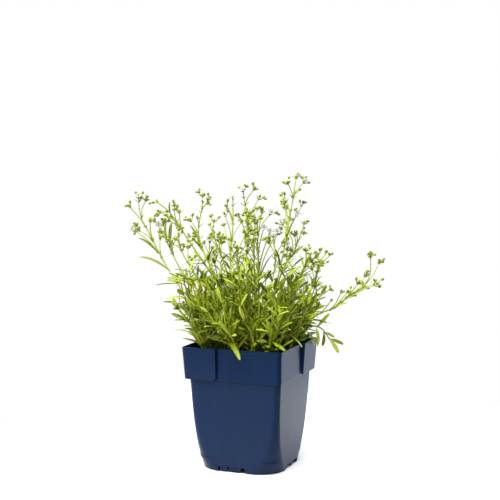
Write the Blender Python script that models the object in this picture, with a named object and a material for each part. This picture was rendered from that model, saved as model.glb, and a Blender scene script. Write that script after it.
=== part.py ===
"""Potted creeping baby's breath: a square nursery pot, its soil, stems, leafy shoots and blooms.

Run it in Blender 4.5. The lengths here are millimetres, and solid() turns them into metres.
The pot's four feet stand on z = 0, its wide front faces -Y and the origin is its middle.
"""

import math
from typing import NamedTuple

import bmesh
import bpy
import numpy as np

MM = 0.001

# The pot: a tapering body whose corners round out towards the foot, under an upright collar.
POT_HEIGHT = 129.5
COLLAR_BASE = 96.2
BODY_HALF = 50.0
FOOT_HALF = 44.6
BODY_RADIUS = 4.5
FOOT_RADIUS = 30.2
ROUNDING_POWER = 3.6
PLAIN_HALF_BASE, PLAIN_HALF_TOP = 51.6, 52.0
PROUD_HALF_BASE, PROUD_HALF_TOP = 53.7, 55.9
COLLAR_RADIUS = 4.0
PROUD_ENDS = (-13.0, -18.0)
PROUD_END_SLOPE = 0.8
PROUD_END_CHAMFER = 4.0
LIP_HEIGHT = 3.6
LIP_PROUD = 0.6
WALL = 1.5
FLOOR_UNDERSIDE = 6.0
SKIRT_LIFT = 1.4
LIFT_HALF = 18.8
SLOT_WIDTH = 1.8
SLOT_PLACES = (-18.2, -8.3)
NOTCH_PLACE, NOTCH_FOOT, NOTCH_TOP = 8.1, 6.2, 3.4
OPENINGS = ((-14.9, -0.7), (2.8, 19.8))
OPENING_TOP = 4.6
DRAIN_PLACES = ((0, 0), (22, 22), (-22, 22), (-22, -22), (22, -22))
DRAIN_RADIUS = 4.5
ARC_POINTS = 5
OUTER_LEVELS = (0, 8, 17, 29, 46, COLLAR_BASE)
INNER_LEVELS = (46, 20)

# The soil fills the pot to a little below its rim.
GAP = 0.3
SOIL_TOP = 120.5
SOIL_SHOULDER = 118.0
SOIL_TOP_HALF = 45.0
HOLE_DEPTH = 9.5
ROOT_DEPTH = 9.0
HOLE_ROOM = 0.5

# The sketch plane stands upright through the pot's middle and faces the viewing side.
# One square of the sketch is 1.06 mm, and a point keeps its place in the view at any depth.
VIEW_TURN = math.radians(21.5)
VIEW_DISTANCE = 1200.0
VIEW_HEIGHT = 328.5
SQUARE = 1.06
RIGHT = np.array((math.cos(VIEW_TURN), math.sin(VIEW_TURN), 0.0))
AWAY = np.array((-math.sin(VIEW_TURN), math.cos(VIEW_TURN), 0.0))
UP = np.array((0.0, 0.0, 1.0))
EYE = -AWAY * VIEW_DISTANCE + UP * VIEW_HEIGHT

# Stems, twigs, leaves, buds and blooms.
STEM_ROOT_RADIUS, STEM_TIP_RADIUS = 0.95, 0.55
TWIG_RADIUS, PEDICEL_RADIUS = 0.5, 0.42
STATION_STEP = 22.5
TWIG_SIDES = 3
BUD_RADIUS, BUD_LENGTH = 1.4, 3.8
CALYX_RADIUS, CALYX_LENGTH = 1.0, 2.0
LONG_TWIG = 12.0
HEAD_SPREAD = math.radians(40)
LEAF_KEEL = 0.8
PETAL_LENGTH, PETAL_THICKNESS = 3.8, 0.7
BLOOM_LEAN = 0.8
CLEARANCE = 0.4
BOWS = (0, 3, -3, 6, -6, 9, -9, 13, -13)
DEPTH_SHIFTS = (0, 4, -4, 8, -8, 12, -12, 16, -16)
SHOOTS = 22
SHOOT_PLACES = (8, 40)
SHOOT_HEIGHTS = (66, 108)
SHOOT_LEANS = (0.16, 0.46)
EDGE_SHORTENING = 0.3
BRANCH_SHARE = 0.22
BRANCH_RADIUS = 0.75
BRANCH_HEIGHTS = (40, 78)
BRANCH_LEANS = (0.3, 0.65)
BRANCH_REACH = 72.0
BRANCH_FAN = 0.7
BRANCH_TURNS = (0, 20, -20, 40, -40, 60, -60, 80, -80, 110, -110, 150, -150)
STEM_LEAVES = {"first": 0.07, "step": 20, "lengths": (25, 16), "widths": (3.8, 2.8)}
SHOOT_LEAVES = {"first": 0.16, "step": 25, "lengths": (25, 19), "widths": (4.4, 3.4)}
BRANCH_LEAVES = {"first": 0.4, "step": 25, "lengths": (24, 18), "widths": (4.2, 3.4)}
SEED = 7


class Stem(NamedTuple):
    """A stem's plan. Its route and tips are sketch points: right of the pot's middle, above the
    floor, and behind the sketch plane in mm."""

    root: tuple  # right and away on the soil, in mm
    route: tuple
    leafy: float  # the share of its length that has pairs of leaves
    heads: tuple  # for each: the share where it leaves the stem, its tip, its buds, its blooms
    leaves: tuple  # those that stand out: the share, the tip, the width in mm


FLOWER_STEMS = {
    "stem_far_left": Stem(
        root=(-50, -20),
        route=((-61, 156, -8), (-74, 183, 2), (-85, 200, 8), (-97, 223, 9), (-108, 245, 10)),
        leafy=0.5,
        heads=(
            (1.0, (-111, 266, 8), 3, 1),
            (1.0, (-104, 263, 17), 2, 0),
            (0.93, (-120, 257, 8), 2, 0),
            (0.74, (-116, 234, 2), 1, 1),
        ),
        leaves=(
            (0.60, (-111, 207, 4), 3.4),
            (0.73, (-112, 226, 16), 3.0),
            (0.38, (-86, 164, -6), 3.2),
            (0.25, (-75, 161, -30), 3.0),
            (0.10, (-78, 134, -24), 2.2),
        ),
    ),
    "stem_arching_left": Stem(
        root=(-24, -8),
        route=((-29, 175, -12), (-46, 200, -18), (-62, 224, -22), (-82, 253, -26), (-92, 261, -28)),
        leafy=0.55,
        heads=((1.0, (-95, 261, -28), 2, 0), (0.92, (-89, 252, -22), 2, 0)),
        leaves=((0.9, (-80, 262, -30), 1.8),),
    ),
    "stem_left_upright": Stem(
        root=(-20, 22),
        route=((-29, 165, 28), (-36, 190, 34), (-46, 210, 40), (-52, 231, 44), (-48, 260, 48)),
        leafy=0.6,
        heads=(
            (1.0, (-48, 267, 50), 2, 0),
            (0.97, (-43, 260, 44), 2, 0),
            (0.84, (-53, 245, 42), 1, 0),
        ),
        leaves=((0.72, (-61, 239, 40), 2.4), (0.64, (-57, 224, 46), 2.2)),
    ),
    "stem_left_short": Stem(
        root=(-12, -24),
        route=((-19, 175, -34), (-27, 201, -40), (-35, 222, -44), (-38, 236, -46)),
        leafy=0.6,
        heads=((1.0, (-37, 242, -46), 3, 0), (0.9, (-41, 238, -42), 1, 0)),
        leaves=(),
    ),
    "stem_over_rim": Stem(
        root=(-20, -34),
        route=((-24, 128, -36), (-33, 147, -38), (-50, 171, -36), (-65, 187, -32), (-84, 225, -26),
         (-86, 238, -24)),
        leafy=0.6,
        heads=(
            (1.0, (-90, 239, -27), 1, 1),
            (0.93, (-84, 243, -17), 2, 0),
            (0.8, (-75, 224, -36), 1, 0),
        ),
        leaves=(
            (0.84, (-78, 242, -30), 3.0),
            (0.55, (-84, 186, -34), 2.8),
            (0.1, (-11, 105, -60), 5.0),
        ),
    ),
    "stem_back_bloom": Stem(
        root=(-14, 34),
        route=((-20, 180, 50), (-20, 215, 58), (-18, 240, 60), (-18, 257, 62)),
        leafy=0.6,
        heads=(
            (1.0, (-18, 264, 62), 1, 1),
            (0.74, (-26, 249, 60), 2, 0),
            (0.6, (-27, 238, 68), 1, 0),
        ),
        leaves=(),
    ),
    "stem_middle": Stem(
        root=(-4, -6),
        route=((-8, 160, -8), (-7, 192, -8), (-4, 217, -9), (-4, 241, -10), (-7, 265, -10)),
        leafy=0.55,
        heads=(
            (1.0, (-8, 272, -10), 2, 1),
            (0.95, (3, 274, -14), 2, 0),
            (0.74, (6, 254, -6), 1, 0),
            (0.8, (8, 266, -2), 2, 0),
            (0.7, (-12, 248, -16), 2, 0),
        ),
        leaves=((0.62, (9, 228, -4), 1.8),),
    ),
    "stem_front_short": Stem(
        root=(2, -30),
        route=((4, 165, -44), (3, 200, -54), (3, 222, -58), (3, 233, -60)),
        leafy=0.6,
        heads=((1.0, (4, 240, -60), 3, 0), (0.8, (-4, 230, -62), 1, 0)),
        leaves=(),
    ),
    "stem_white_heads": Stem(
        root=(8, -16),
        route=((8, 160, -24), (7, 185, -28), (7, 203, -30), (6, 222, -32), (6, 240, -33)),
        leafy=0.5,
        heads=(
            (1.0, (4, 247, -33), 1, 1),
            (0.6, (18, 231, -28), 0, 1),
            (0.56, (25, 231, -38), 0, 1),
            (0.72, (12, 235, -42), 0, 1),
            (0.84, (11, 252, -28), 2, 0),
            (0.9, (19, 250, -38), 1, 1),
        ),
        leaves=((0.56, (22, 210, -36), 2.2), (0.56, (-9, 212, -24), 2.2)),
    ),
    "stem_tall": Stem(
        root=(16, 6),
        route=((19, 150, 10), (26, 185, 12), (32, 212, 14), (37, 241, 15), (41, 265, 16)),
        leafy=0.55,
        heads=(
            (1.0, (36, 280, 12), 3, 0),
            (1.0, (44, 285, 18), 2, 0),
            (1.0, (52, 281, 22), 2, 1),
            (0.68, (33, 268, 26), 2, 0),
            (0.7, (51, 260, 10), 2, 0),
            (0.74, (45, 249, 4), 1, 1),
        ),
        leaves=(),
    ),
    "stem_right_back": Stem(
        root=(22, 26),
        route=((22, 165, 40), (34, 200, 48), (42, 212, 50), (46, 222, 52), (49, 230, 53)),
        leafy=0.62,
        heads=(
            (1.0, (52, 240, 54), 2, 0),
            (0.9, (45, 231, 46), 1, 0),
            (0.78, (36, 219, 42), 1, 1),
            (0.82, (30, 241, 58), 2, 1),
        ),
        leaves=((0.76, (52, 218, 58), 3.0),),
    ),
    "stem_right_front": Stem(
        root=(30, -18),
        route=((38, 165, -30), (47, 185, -36), (53, 196, -38), (56, 204, -40)),
        leafy=0.7,
        heads=((1.0, (58, 209, -40), 2, 0), (0.8, (61, 200, -45), 1, 0)),
        leaves=(),
    ),
    "stem_right_upright": Stem(
        root=(40, -24),
        route=((43, 130, -26), (54, 148, -26), (65, 166, -24), (64, 183, -22), (67, 203, -20)),
        leafy=0.45,
        heads=(
            (1.0, (66, 209, -20), 2, 0),
            (0.92, (74, 211, -15), 1, 0),
            (0.88, (78, 209, -26), 1, 0),
            (0.5, (78, 175, -32), 1, 0),
        ),
        leaves=((0.72, (55, 191, -16), 2.6), (0.73, (70, 188, -28), 2.2), (0.66, (74, 178, -18), 2.6)),
    ),
    "stem_far_right": Stem(
        root=(44, 4),
        route=((62, 147, 8), (71, 152, 10), (84, 157, 12), (100, 171, 15), (112, 178, 17)),
        leafy=0.35,
        heads=(
            (1.0, (118, 208, 16), 3, 0),
            (0.98, (127, 202, 24), 2, 0),
            (0.7, (124, 180, 10), 3, 0),
            (0.8, (129, 184, 20), 1, 0),
            (0.56, (89, 172, 6), 1, 0),
            (0.6, (95, 172, 18), 1, 0),
            (0.42, (79, 163, 4), 1, 0),
        ),
        leaves=((0.6, (96, 161, 6), 2.8),),
    ),
    "shoot_drooping_right": Stem(
        root=(44, 16),
        route=((57, 137, 20), (68, 137, 24), (79, 124, 28)),
        leafy=0.0,
        heads=(),
        leaves=(
            (0.97, (92, 120, 32), 3.8),
            (0.95, (87, 111, 22), 3.8),
            (0.8, (83, 127, 36), 3.4),
            (0.62, (78, 151, 26), 3.6),
            (0.6, (66, 118, 16), 3.2),
            (0.8, (71, 118, 30), 3.0),
            (0.4, (62, 119, 8), 3.0),
            (0.4, (60, 150, 28), 3.0),
        ),
    ),
    "stem_left_buds": Stem(
        root=(-34, 14),
        route=((-45, 165, 24), (-56, 190, 30), (-66, 207, 34), (-73, 224, 36)),
        leafy=0.6,
        heads=(
            (1.0, (-73, 226, 38), 2, 0),
            (0.9, (-77, 220, 30), 1, 0),
            (0.78, (-69, 213, 42), 2, 0),
        ),
        leaves=(),
    ),
    "stem_front": Stem(
        root=(0, -38),
        route=((-1, 135, -43), (-9, 165, -53), (-13, 195, -61), (-14, 213, -65)),
        leafy=0.65,
        heads=(
            (1.0, (-14, 216, -66), 2, 0),
            (0.8, (-7, 205, -68), 1, 0),
            (0.85, (-20, 209, -62), 1, 0),
        ),
        leaves=(),
    ),
    "stem_back_right": Stem(
        root=(10, 38),
        route=((14, 150, 48), (20, 180, 55), (24, 205, 60), (22, 225, 63)),
        leafy=0.6,
        heads=(
            (1.0, (22, 227, 64), 2, 1),
            (0.8, (31, 221, 60), 2, 0),
            (0.84, (14, 224, 66), 1, 0),
        ),
        leaves=(),
    ),
    "stem_back_left": Stem(
        root=(-26, 34),
        route=((-30, 150, 50), (-37, 180, 60), (-42, 203, 66), (-41, 220, 68)),
        leafy=0.6,
        heads=((1.0, (-41, 223, 68), 2, 1), (0.8, (-34, 214, 72), 1, 0)),
        leaves=(),
    ),
}

draw = np.random.default_rng(SEED)


def unit(vector):
    return vector / np.linalg.norm(vector)


def sketched(right, up, away):
    """The point at (right, up) on the sketch, moved `away` mm along the line of sight."""
    flat = RIGHT * right * SQUARE + UP * up * SQUARE
    return flat + (flat - EYE) * away / VIEW_DISTANCE


def on_soil(root, height):
    """The point above the soil's plan position `root`, given as (right, away)."""
    return RIGHT * root[0] + AWAY * root[1] + UP * height


def clear_scene():
    for obj in list(bpy.data.objects):
        bpy.data.objects.remove(obj)


def make_material(name, colour, roughness):
    material = bpy.data.materials.new(name)
    material.use_nodes = True
    shader = material.node_tree.nodes["Principled BSDF"]
    shader.inputs["Base Color"].default_value = (*colour, 1.0)
    shader.inputs["Roughness"].default_value = roughness
    shader.inputs["Metallic"].default_value = 0.0
    return material


def finish(bm, name, material, crease):
    """Turns the bmesh, in mm, into an object in metres with its faces pointing out."""
    bmesh.ops.recalc_face_normals(bm, faces=bm.faces)
    bmesh.ops.scale(bm, vec=(MM, MM, MM), verts=bm.verts)
    mesh = bpy.data.meshes.new(name)
    bm.to_mesh(mesh)
    bm.free()
    mesh.shade_smooth()
    mesh.set_sharp_from_angle(angle=math.radians(crease))
    mesh.materials.append(material)
    obj = bpy.data.objects.new(name, mesh)
    bpy.context.scene.collection.objects.link(obj)
    return obj


def solid(name, rings, material, crease=35):
    """A closed solid through rings of points. A ring of one point ends it there."""
    bm = bmesh.new()
    loops = [[bm.verts.new(point) for point in ring] for ring in rings]
    for here, there in zip(loops, loops[1:]):
        count = max(len(here), len(there))
        for i in range(count):
            j = (i + 1) % count
            corners = [here[i % len(here)], here[j % len(here)]]
            corners += [there[j % len(there)], there[i % len(there)]]
            bm.faces.new(list(dict.fromkeys(corners)))
    for end in (loops[0], loops[-1]):
        if len(end) > 2:
            bm.faces.new(end)
    return finish(bm, name, material, crease)


def combine(obj, others, operation, solver="EXACT"):
    """Joins the other solids to `obj`, or cuts them from it, and removes them."""
    group = bpy.data.collections.new("group")
    bpy.context.scene.collection.children.link(group)
    for other in others:
        bpy.context.scene.collection.objects.unlink(other)
        group.objects.link(other)
    boolean = obj.modifiers.new("Combine", "BOOLEAN")
    boolean.operation = operation
    boolean.operand_type = "COLLECTION"
    boolean.collection = group
    boolean.solver = solver
    bpy.context.view_layer.objects.active = obj
    bpy.ops.object.modifier_apply(modifier=boolean.name)
    for other in others:
        bpy.data.objects.remove(other)
    bpy.data.collections.remove(group)


def outline(half, proud, radius, back, height):
    """A rounded square at `height`, whose corners at (-X, -Y) and (+X, +Y) stand out to `proud`.

    Along its two faces, each proud corner ends at PROUD_ENDS from their middles, less `back`."""
    sweep = np.linspace(0, math.pi / 2, ARC_POINTS)
    turned = []
    for corner in range(4):
        stands_out = corner % 2 == 0
        out = proud if stands_out else half
        arc = radius - out - radius * np.column_stack((np.cos(sweep), np.sin(sweep)))
        if stands_out:
            side, front = (max(end - back, radius - out + 1) for end in PROUD_ENDS)
            side_end = ((-half, side + PROUD_END_SLOPE), (-out, side))
            arc = np.vstack((side_end, arc, (front, -out), (front + PROUD_END_SLOPE, -half)))
        c, s = math.cos(corner * math.pi / 2), math.sin(corner * math.pi / 2)
        turned.append(arc @ np.array(((c, s), (-s, c))))
    plan = np.vstack(turned)
    return np.column_stack((plan, np.full(len(plan), height)))


def body_ring(height, inset=0.0):
    """The body's outline: it narrows evenly, and its corners round out late, near the foot."""
    low = 1 - min(height, COLLAR_BASE) / COLLAR_BASE
    half = BODY_HALF - (BODY_HALF - FOOT_HALF) * low - inset
    radius = BODY_RADIUS + (FOOT_RADIUS - BODY_RADIUS) * low**ROUNDING_POWER - inset
    return outline(half, half, radius, PROUD_END_CHAMFER, height)


def collar_ring(height, inset=0.0, lip=0.0, chamfer=0.0):
    """The collar's outline, widening a little towards the rim."""
    rise = (height - COLLAR_BASE) / (POT_HEIGHT - COLLAR_BASE)
    half = PLAIN_HALF_BASE + (PLAIN_HALF_TOP - PLAIN_HALF_BASE) * rise + lip - inset
    proud = PROUD_HALF_BASE + (PROUD_HALF_TOP - PROUD_HALF_BASE) * rise - inset
    return outline(half, proud, COLLAR_RADIUS - inset, inset + chamfer, height)


def prism(name, plan, low, high, material):
    """An upright prism on the plan points."""
    plan = np.asarray(plan, float)
    rings = [np.column_stack((plan, np.full(len(plan), z))) for z in (low, high)]
    return solid(name, rings, material)


def skirt_cutters(material):
    """The cutters that leave the four feet, with slots and a notch in the sides that face -Y
    and +Y, and two wide openings in the other sides."""
    cutters = []
    for side in range(4):
        c, s = math.cos(side * math.pi / 2), math.sin(side * math.pi / 2)

        def across(along_from, along_to, out_from=FOOT_HALF - 6, out_to=FOOT_HALF + 6):
            box = ((along_from, -out_to), (along_to, -out_to))
            box += ((along_to, -out_from), (along_from, -out_from))
            return np.array(box) @ np.array(((c, s), (-s, c)))

        cutters.append(prism("lift", across(-LIFT_HALF, LIFT_HALF), -1, SKIRT_LIFT, material))
        if side % 2:
            for ends in OPENINGS:
                cutters.append(prism("opening", across(*ends), -2, OPENING_TOP, material))
            continue
        for place in SLOT_PLACES:
            slot = across(place - SLOT_WIDTH / 2, place + SLOT_WIDTH / 2)
            cutters.append(prism("slot", slot, 1, FLOOR_UNDERSIDE - GAP, material))
        rings = []
        for width, height in ((NOTCH_FOOT, 1), (NOTCH_TOP, FLOOR_UNDERSIDE - GAP)):
            plan = across(NOTCH_PLACE - width / 2, NOTCH_PLACE + width / 2)
            rings.append(np.column_stack((plan, np.full(4, height))))
        cutters.append(solid("notch", rings, material))
    return cutters


def make_pot(material):
    """One thin shell, open at the top, with a raised floor inside a skirt on four feet."""
    centre = np.array(((0, 0, 0),), float)
    chamfer_top = COLLAR_BASE + PROUD_END_CHAMFER
    lip_base = POT_HEIGHT - LIP_HEIGHT
    ledge = COLLAR_BASE + WALL
    rings = [centre + UP * FLOOR_UNDERSIDE, body_ring(FLOOR_UNDERSIDE, WALL), body_ring(0, WALL)]
    rings += [body_ring(level) for level in OUTER_LEVELS]
    rings += [
        collar_ring(COLLAR_BASE, chamfer=PROUD_END_CHAMFER),
        collar_ring(chamfer_top),
        collar_ring(lip_base - LIP_PROUD),
        collar_ring(lip_base, lip=LIP_PROUD),
        collar_ring(POT_HEIGHT, lip=LIP_PROUD),
        collar_ring(POT_HEIGHT, WALL, lip=LIP_PROUD),
        collar_ring(chamfer_top + WALL, WALL),
        collar_ring(ledge, WALL, chamfer=PROUD_END_CHAMFER),
        body_ring(ledge, WALL),
    ]
    floor = FLOOR_UNDERSIDE + WALL
    rings += [body_ring(level, WALL) for level in (*INNER_LEVELS, floor)]
    rings.append(centre + UP * floor)
    pot = solid("pot", rings, material, crease=40)
    cutters = skirt_cutters(material)
    turns = np.linspace(0, 2 * math.pi, 8, endpoint=False)
    circle = DRAIN_RADIUS * np.column_stack((np.cos(turns), np.sin(turns)))
    for place in DRAIN_PLACES:
        drain = prism("drain", circle + place, FLOOR_UNDERSIDE - 2, floor + 2, material)
        cutters.append(drain)
    combine(pot, cutters, "DIFFERENCE")
    return pot


def make_soil(roots, material):
    """The root ball: it fills the pot and has a square hole for each stem."""
    inset = WALL + GAP
    ledge = COLLAR_BASE + WALL + GAP
    floor = FLOOR_UNDERSIDE + WALL + GAP
    top = outline(SOIL_TOP_HALF, SOIL_TOP_HALF, COLLAR_RADIUS, 0, SOIL_TOP)
    middle = np.array(((0, 0, 0),), float)
    rings = [middle + UP * floor, body_ring(floor, inset)]
    rings += [body_ring(level, inset) for level in reversed(INNER_LEVELS)]
    rings += [
        body_ring(ledge, inset),
        collar_ring(ledge, inset, chamfer=PROUD_END_CHAMFER),
        collar_ring(ledge + PROUD_END_CHAMFER, inset),
        collar_ring(SOIL_SHOULDER, inset),
        top,
        middle + UP * SOIL_TOP,
    ]
    soil = solid("soil", rings, material)
    corner = STEM_ROOT_RADIUS + HOLE_ROOM
    square = corner * np.array(((1, 0), (0, 1), (-1, 0), (0, -1)))
    holes = []
    for root in roots:
        base = SOIL_TOP - HOLE_DEPTH
        holes.append(prism("hole", square + root[:2], base, SOIL_TOP + 5, material))
    combine(soil, holes, "DIFFERENCE")
    return soil


def smooth_route(points, count):
    """`count` points spaced evenly along a smooth curve through the given ones."""
    points = np.asarray(points, float)
    steps = np.linalg.norm(np.diff(points, axis=0), axis=1) ** 0.5
    knots = np.concatenate(((0,), np.cumsum(steps)))
    slopes = np.gradient(points, knots, axis=0)
    fine = np.linspace(0, knots[-1], 30 * len(points))
    span = np.clip(np.searchsorted(knots, fine, side="right") - 1, 0, len(points) - 2)
    width = (knots[span + 1] - knots[span])[:, None]
    t = (fine - knots[span])[:, None] / width
    curve = (2 * t**3 - 3 * t**2 + 1) * points[span] + (3 * t**2 - 2 * t**3) * points[span + 1]
    curve += (t**3 - 2 * t**2 + t) * width * slopes[span]
    curve += (t**3 - t**2) * width * slopes[span + 1]
    along = np.concatenate(((0,), np.cumsum(np.linalg.norm(np.diff(curve, axis=0), axis=1))))
    wanted = np.linspace(0, along[-1], count)
    return np.column_stack([np.interp(wanted, along, curve[:, axis]) for axis in range(3)])


def curve_point(route, share):
    """The point and the direction at this share of the route's length."""
    place = share * (len(route) - 1)
    i = min(int(place), len(route) - 2)
    return route[i] + (route[i + 1] - route[i]) * (place - i), unit(route[i + 1] - route[i])


def tube_rings(points, radii, sides):
    """Rings of a tapering tube. The first ring starts at +X when the tube rises straight up."""
    points = np.asarray(points, float)
    heading = np.gradient(points, axis=0)
    heading[0] = points[1] - points[0]
    heading[-1] = points[-1] - points[-2]
    turns = np.linspace(0, 2 * math.pi, sides, endpoint=False)[:, None]
    start = np.array((1.0, 0.0, 0.0))
    if abs(unit(heading[0])[0]) > 0.9:
        start = UP
    rings = []
    for point, ahead, radius in zip(points, heading, radii):
        ahead = unit(ahead)
        start = unit(start - ahead * np.dot(start, ahead))
        beside = np.cross(ahead, start)
        ring = point + radius * (np.cos(turns) * start + np.sin(turns) * beside)
        rings.append(ring if radius > 0 else ring[:1])
    return rings


def leaf_sections(line, width, facing, shares):
    """Keeled three-cornered sections of a lance-shaped blade, with its upper side `facing`.

    `shares` are its widths before the tip, as shares of the greatest. The tip is one point."""
    sections = []
    headings = np.gradient(line, axis=0)
    for point, ahead, share in zip(line, headings, shares):
        keel = LEAF_KEEL * (0.7 + 0.3 * share)
        beside = unit(np.cross(ahead, facing))
        above = unit(np.cross(beside, ahead))
        half = beside * share * width / 2
        sections.append(np.array((point - half, point + half, point - above * keel)))
    return [*sections, line[-1:]]


def pair_sections(one, other):
    """Joins two opposite blades into one that runs from tip to tip through the stem."""
    swapped = [section[[1, 0, 2]] if len(section) == 3 else section for section in one]
    return [*reversed(swapped[1:]), (swapped[0] + other[0]) / 2, *other[1:]]


def bloom_solid(name, centre, axis, material):
    """Five notched petals in one whorl: a cupped star of 20 corners, thick enough to stand."""
    across = unit(np.cross(axis, RIGHT + UP * 0.2))
    beside = np.cross(axis, across)
    petal = ((-36, 0.27), (-19, 0.9), (0, 0.84), (19, 0.9))
    bm = bmesh.new()
    faces = []
    for side in (1, -1):
        middle = bm.verts.new(centre + axis * side * PETAL_THICKNESS / 2)
        edge = []
        for i in range(5):
            for turn, share in petal:
                angle = math.radians(turn + 72 * i)
                reach = share * PETAL_LENGTH
                rise = 0.5 * share + side * PETAL_THICKNESS / 2
                place = across * math.cos(angle) + beside * math.sin(angle)
                edge.append(bm.verts.new(centre + place * reach + axis * rise))
        faces.append(edge)
        for i, vert in enumerate(edge):
            bm.faces.new((middle, vert, edge[(i + 1) % len(edge)]))
    top, under = faces
    for i in range(len(top)):
        j = (i + 1) % len(top)
        bm.faces.new((top[i], top[j], under[j], under[i]))
    return finish(bm, name, material, 50)


def balls_along(line, radii):
    """Balls (x, y, z, radius) a millimetre apart along a line of points."""
    balls = []
    for a, b, r, q in zip(line, line[1:], radii, radii[1:]):
        count = max(2, math.ceil(np.linalg.norm(b - a)))
        t = np.linspace(0, 1, count)[:, None]
        balls.append(np.hstack((a + (b - a) * t, r + (q - r) * t)))
    return np.vstack(balls)


class Room:
    """The room that the plant has taken so far, as balls that each belong to one node."""

    def __init__(self):
        self.balls = np.empty((0, 4))
        self.owners = np.empty(0, dtype=object)

    def take(self, owner, balls):
        self.balls = np.vstack((self.balls, balls))
        self.owners = np.append(self.owners, [owner] * len(balls))

    def is_free(self, owner, balls, rooted=False):
        """Whether the balls are clear of every other node, of the soil and of the pot."""
        if not rooted and not self.clears_pot(balls):
            return False
        low, high = balls[:, :3].min(axis=0) - 6, balls[:, :3].max(axis=0) + 6
        near = ((self.balls[:, :3] > low) & (self.balls[:, :3] < high)).all(axis=1)
        others = self.balls[near & (self.owners != owner)]
        if not len(others):
            return True
        apart = np.linalg.norm(others[:, None, :3] - balls[None, :, :3], axis=2)
        return bool((apart - others[:, None, 3] - balls[None, :, 3] > CLEARANCE).all())

    @staticmethod
    def clears_pot(balls):
        out = np.abs(balls[:, :2]).max(axis=1)
        thick = np.minimum(balls[:, 3], 1.0)
        low = balls[:, 2] - thick
        above_rim = low > POT_HEIGHT + CLEARANCE
        inside = (out + thick < SOIL_TOP_HALF + 3) & (low > SOIL_TOP + CLEARANCE)
        outside = (out - thick > PROUD_HALF_TOP + CLEARANCE) & (low > CLEARANCE)
        return bool((above_rim | inside | outside).all())


def grow_stem(room, owner, root, tips, sides=4):
    """Routes a stem from its hole through its points, bowed the least that keeps it clear."""
    foot = root - UP * ROOT_DEPTH
    for bow in BOWS:
        share = np.linspace(0, 1, len(tips) + 1)[1:-1, None]
        bowed = np.array(tips, float)
        bowed[:-1] += AWAY * bow * np.sin(share * math.pi)
        through = np.vstack((foot, root, root + UP * 2, bowed))
        length = np.linalg.norm(np.diff(through, axis=0), axis=1).sum()
        count = max(4, round(length / STATION_STEP) + 1)
        route = np.vstack((foot, smooth_route(through[1:], count)))
        radii = np.linspace(STEM_ROOT_RADIUS, STEM_TIP_RADIUS, len(route))
        balls = balls_along(route, radii)
        above = balls[balls[:, 2] > SOIL_TOP + 1.5]
        if room.is_free(owner, balls, rooted=True) and room.clears_pot(above):
            room.take(owner, balls)
            return route[1:], tube_rings(route, radii, sides)
    return None


def side_vectors(ahead):
    across = unit(np.cross(ahead, RIGHT * 0.3 + AWAY))
    return across, np.cross(ahead, across)


def bloom_balls(seat, out):
    """The room of a bloom: balls round its petals and one at its middle."""
    across, beside = side_vectors(out)
    around = np.linspace(0, 2 * math.pi, 10, endpoint=False)[:, None]
    petals = seat + out * 0.35 + 0.68 * PETAL_LENGTH * (
        np.cos(around) * across + np.sin(around) * beside)
    middle = np.append(seat, PETAL_THICKNESS / 2)
    return np.vstack((np.column_stack((petals, np.full(10, 1.25))), middle))


def grow_tip(room, owner, line, radii, bloom):
    """Ends a twig in a bud, or in a calyx with a bloom seated on it. None if it isn't clear."""
    out = unit(unit(line[-1] - line[-2]) + UP * 0.15)
    end = line[-1]
    if bloom is None:
        line = np.vstack((line, end + out * BUD_LENGTH * 0.45, end + out * BUD_LENGTH))
        radii = (*radii, BUD_RADIUS, 0)
    else:
        out = unit(out - AWAY * BLOOM_LEAN)
        line = np.vstack((line, end + out * CALYX_LENGTH))
        radii = (*radii, CALYX_RADIUS)
    balls = balls_along(line, radii)
    if not (room.is_free(owner, balls) and room.is_free(None, balls[-3:])):
        return None
    if bloom is not None:
        seat = line[-1] + out * (GAP + PETAL_THICKNESS / 2)
        petals = bloom_balls(seat, out)
        if not (room.is_free(bloom, petals) and room.is_free(None, petals)):
            return None
        room.take(bloom, petals)
    room.take(owner, balls)
    return tube_rings(line, radii, TWIG_SIDES), None if bloom is None else (seat, out)


def grow_head(room, owner, route, share, tip, kinds):
    """A twig from the stem to the tip, with a bud or bloom at its end and the rest beside it."""
    start, ahead = curve_point(route, min(share, 0.999))
    pieces, blooms = [], {}
    for shift in DEPTH_SHIFTS:
        end = tip + AWAY * shift
        reach = np.linalg.norm(end - start)
        elbow = start * 0.7 + end * 0.3 + ahead * reach * 0.16
        twig = np.array((start, elbow, end) if reach > LONG_TWIG else (start, end))
        radii = [TWIG_RADIUS] * (len(twig) - 1) + [PEDICEL_RADIUS]
        grown = grow_tip(room, owner, twig, radii, kinds[0])
        if grown:
            pieces.append(grown[0])
            blooms[kinds[0]] = grown[1]
            break
    if not pieces:
        return pieces, {}
    heading = unit(twig[-1] - twig[-2])
    across, beside = side_vectors(heading)
    spin = draw.uniform(0, 2 * math.pi)
    for i, kind in enumerate(kinds[1:]):
        base = twig[-2] + (twig[-1] - twig[-2]) * (0.85 - 0.28 * (i // 2))
        for turn in np.radians((0, 30, -30, 60, -60, 90, -90, 120, -120, 150, -150)):
            angle = spin + turn + i * math.pi
            around = across * math.cos(angle) + beside * math.sin(angle)
            out = unit(heading * math.cos(HEAD_SPREAD) + around * math.sin(HEAD_SPREAD))
            line = np.array((base, base + out * draw.uniform(4.5, 7)))
            grown = grow_tip(room, owner, line, [PEDICEL_RADIUS] * 2, kind)
            if grown:
                pieces.append(grown[0])
                blooms[kind] = grown[1]
                break
    blooms.pop(None, None)
    return pieces, blooms


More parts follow.
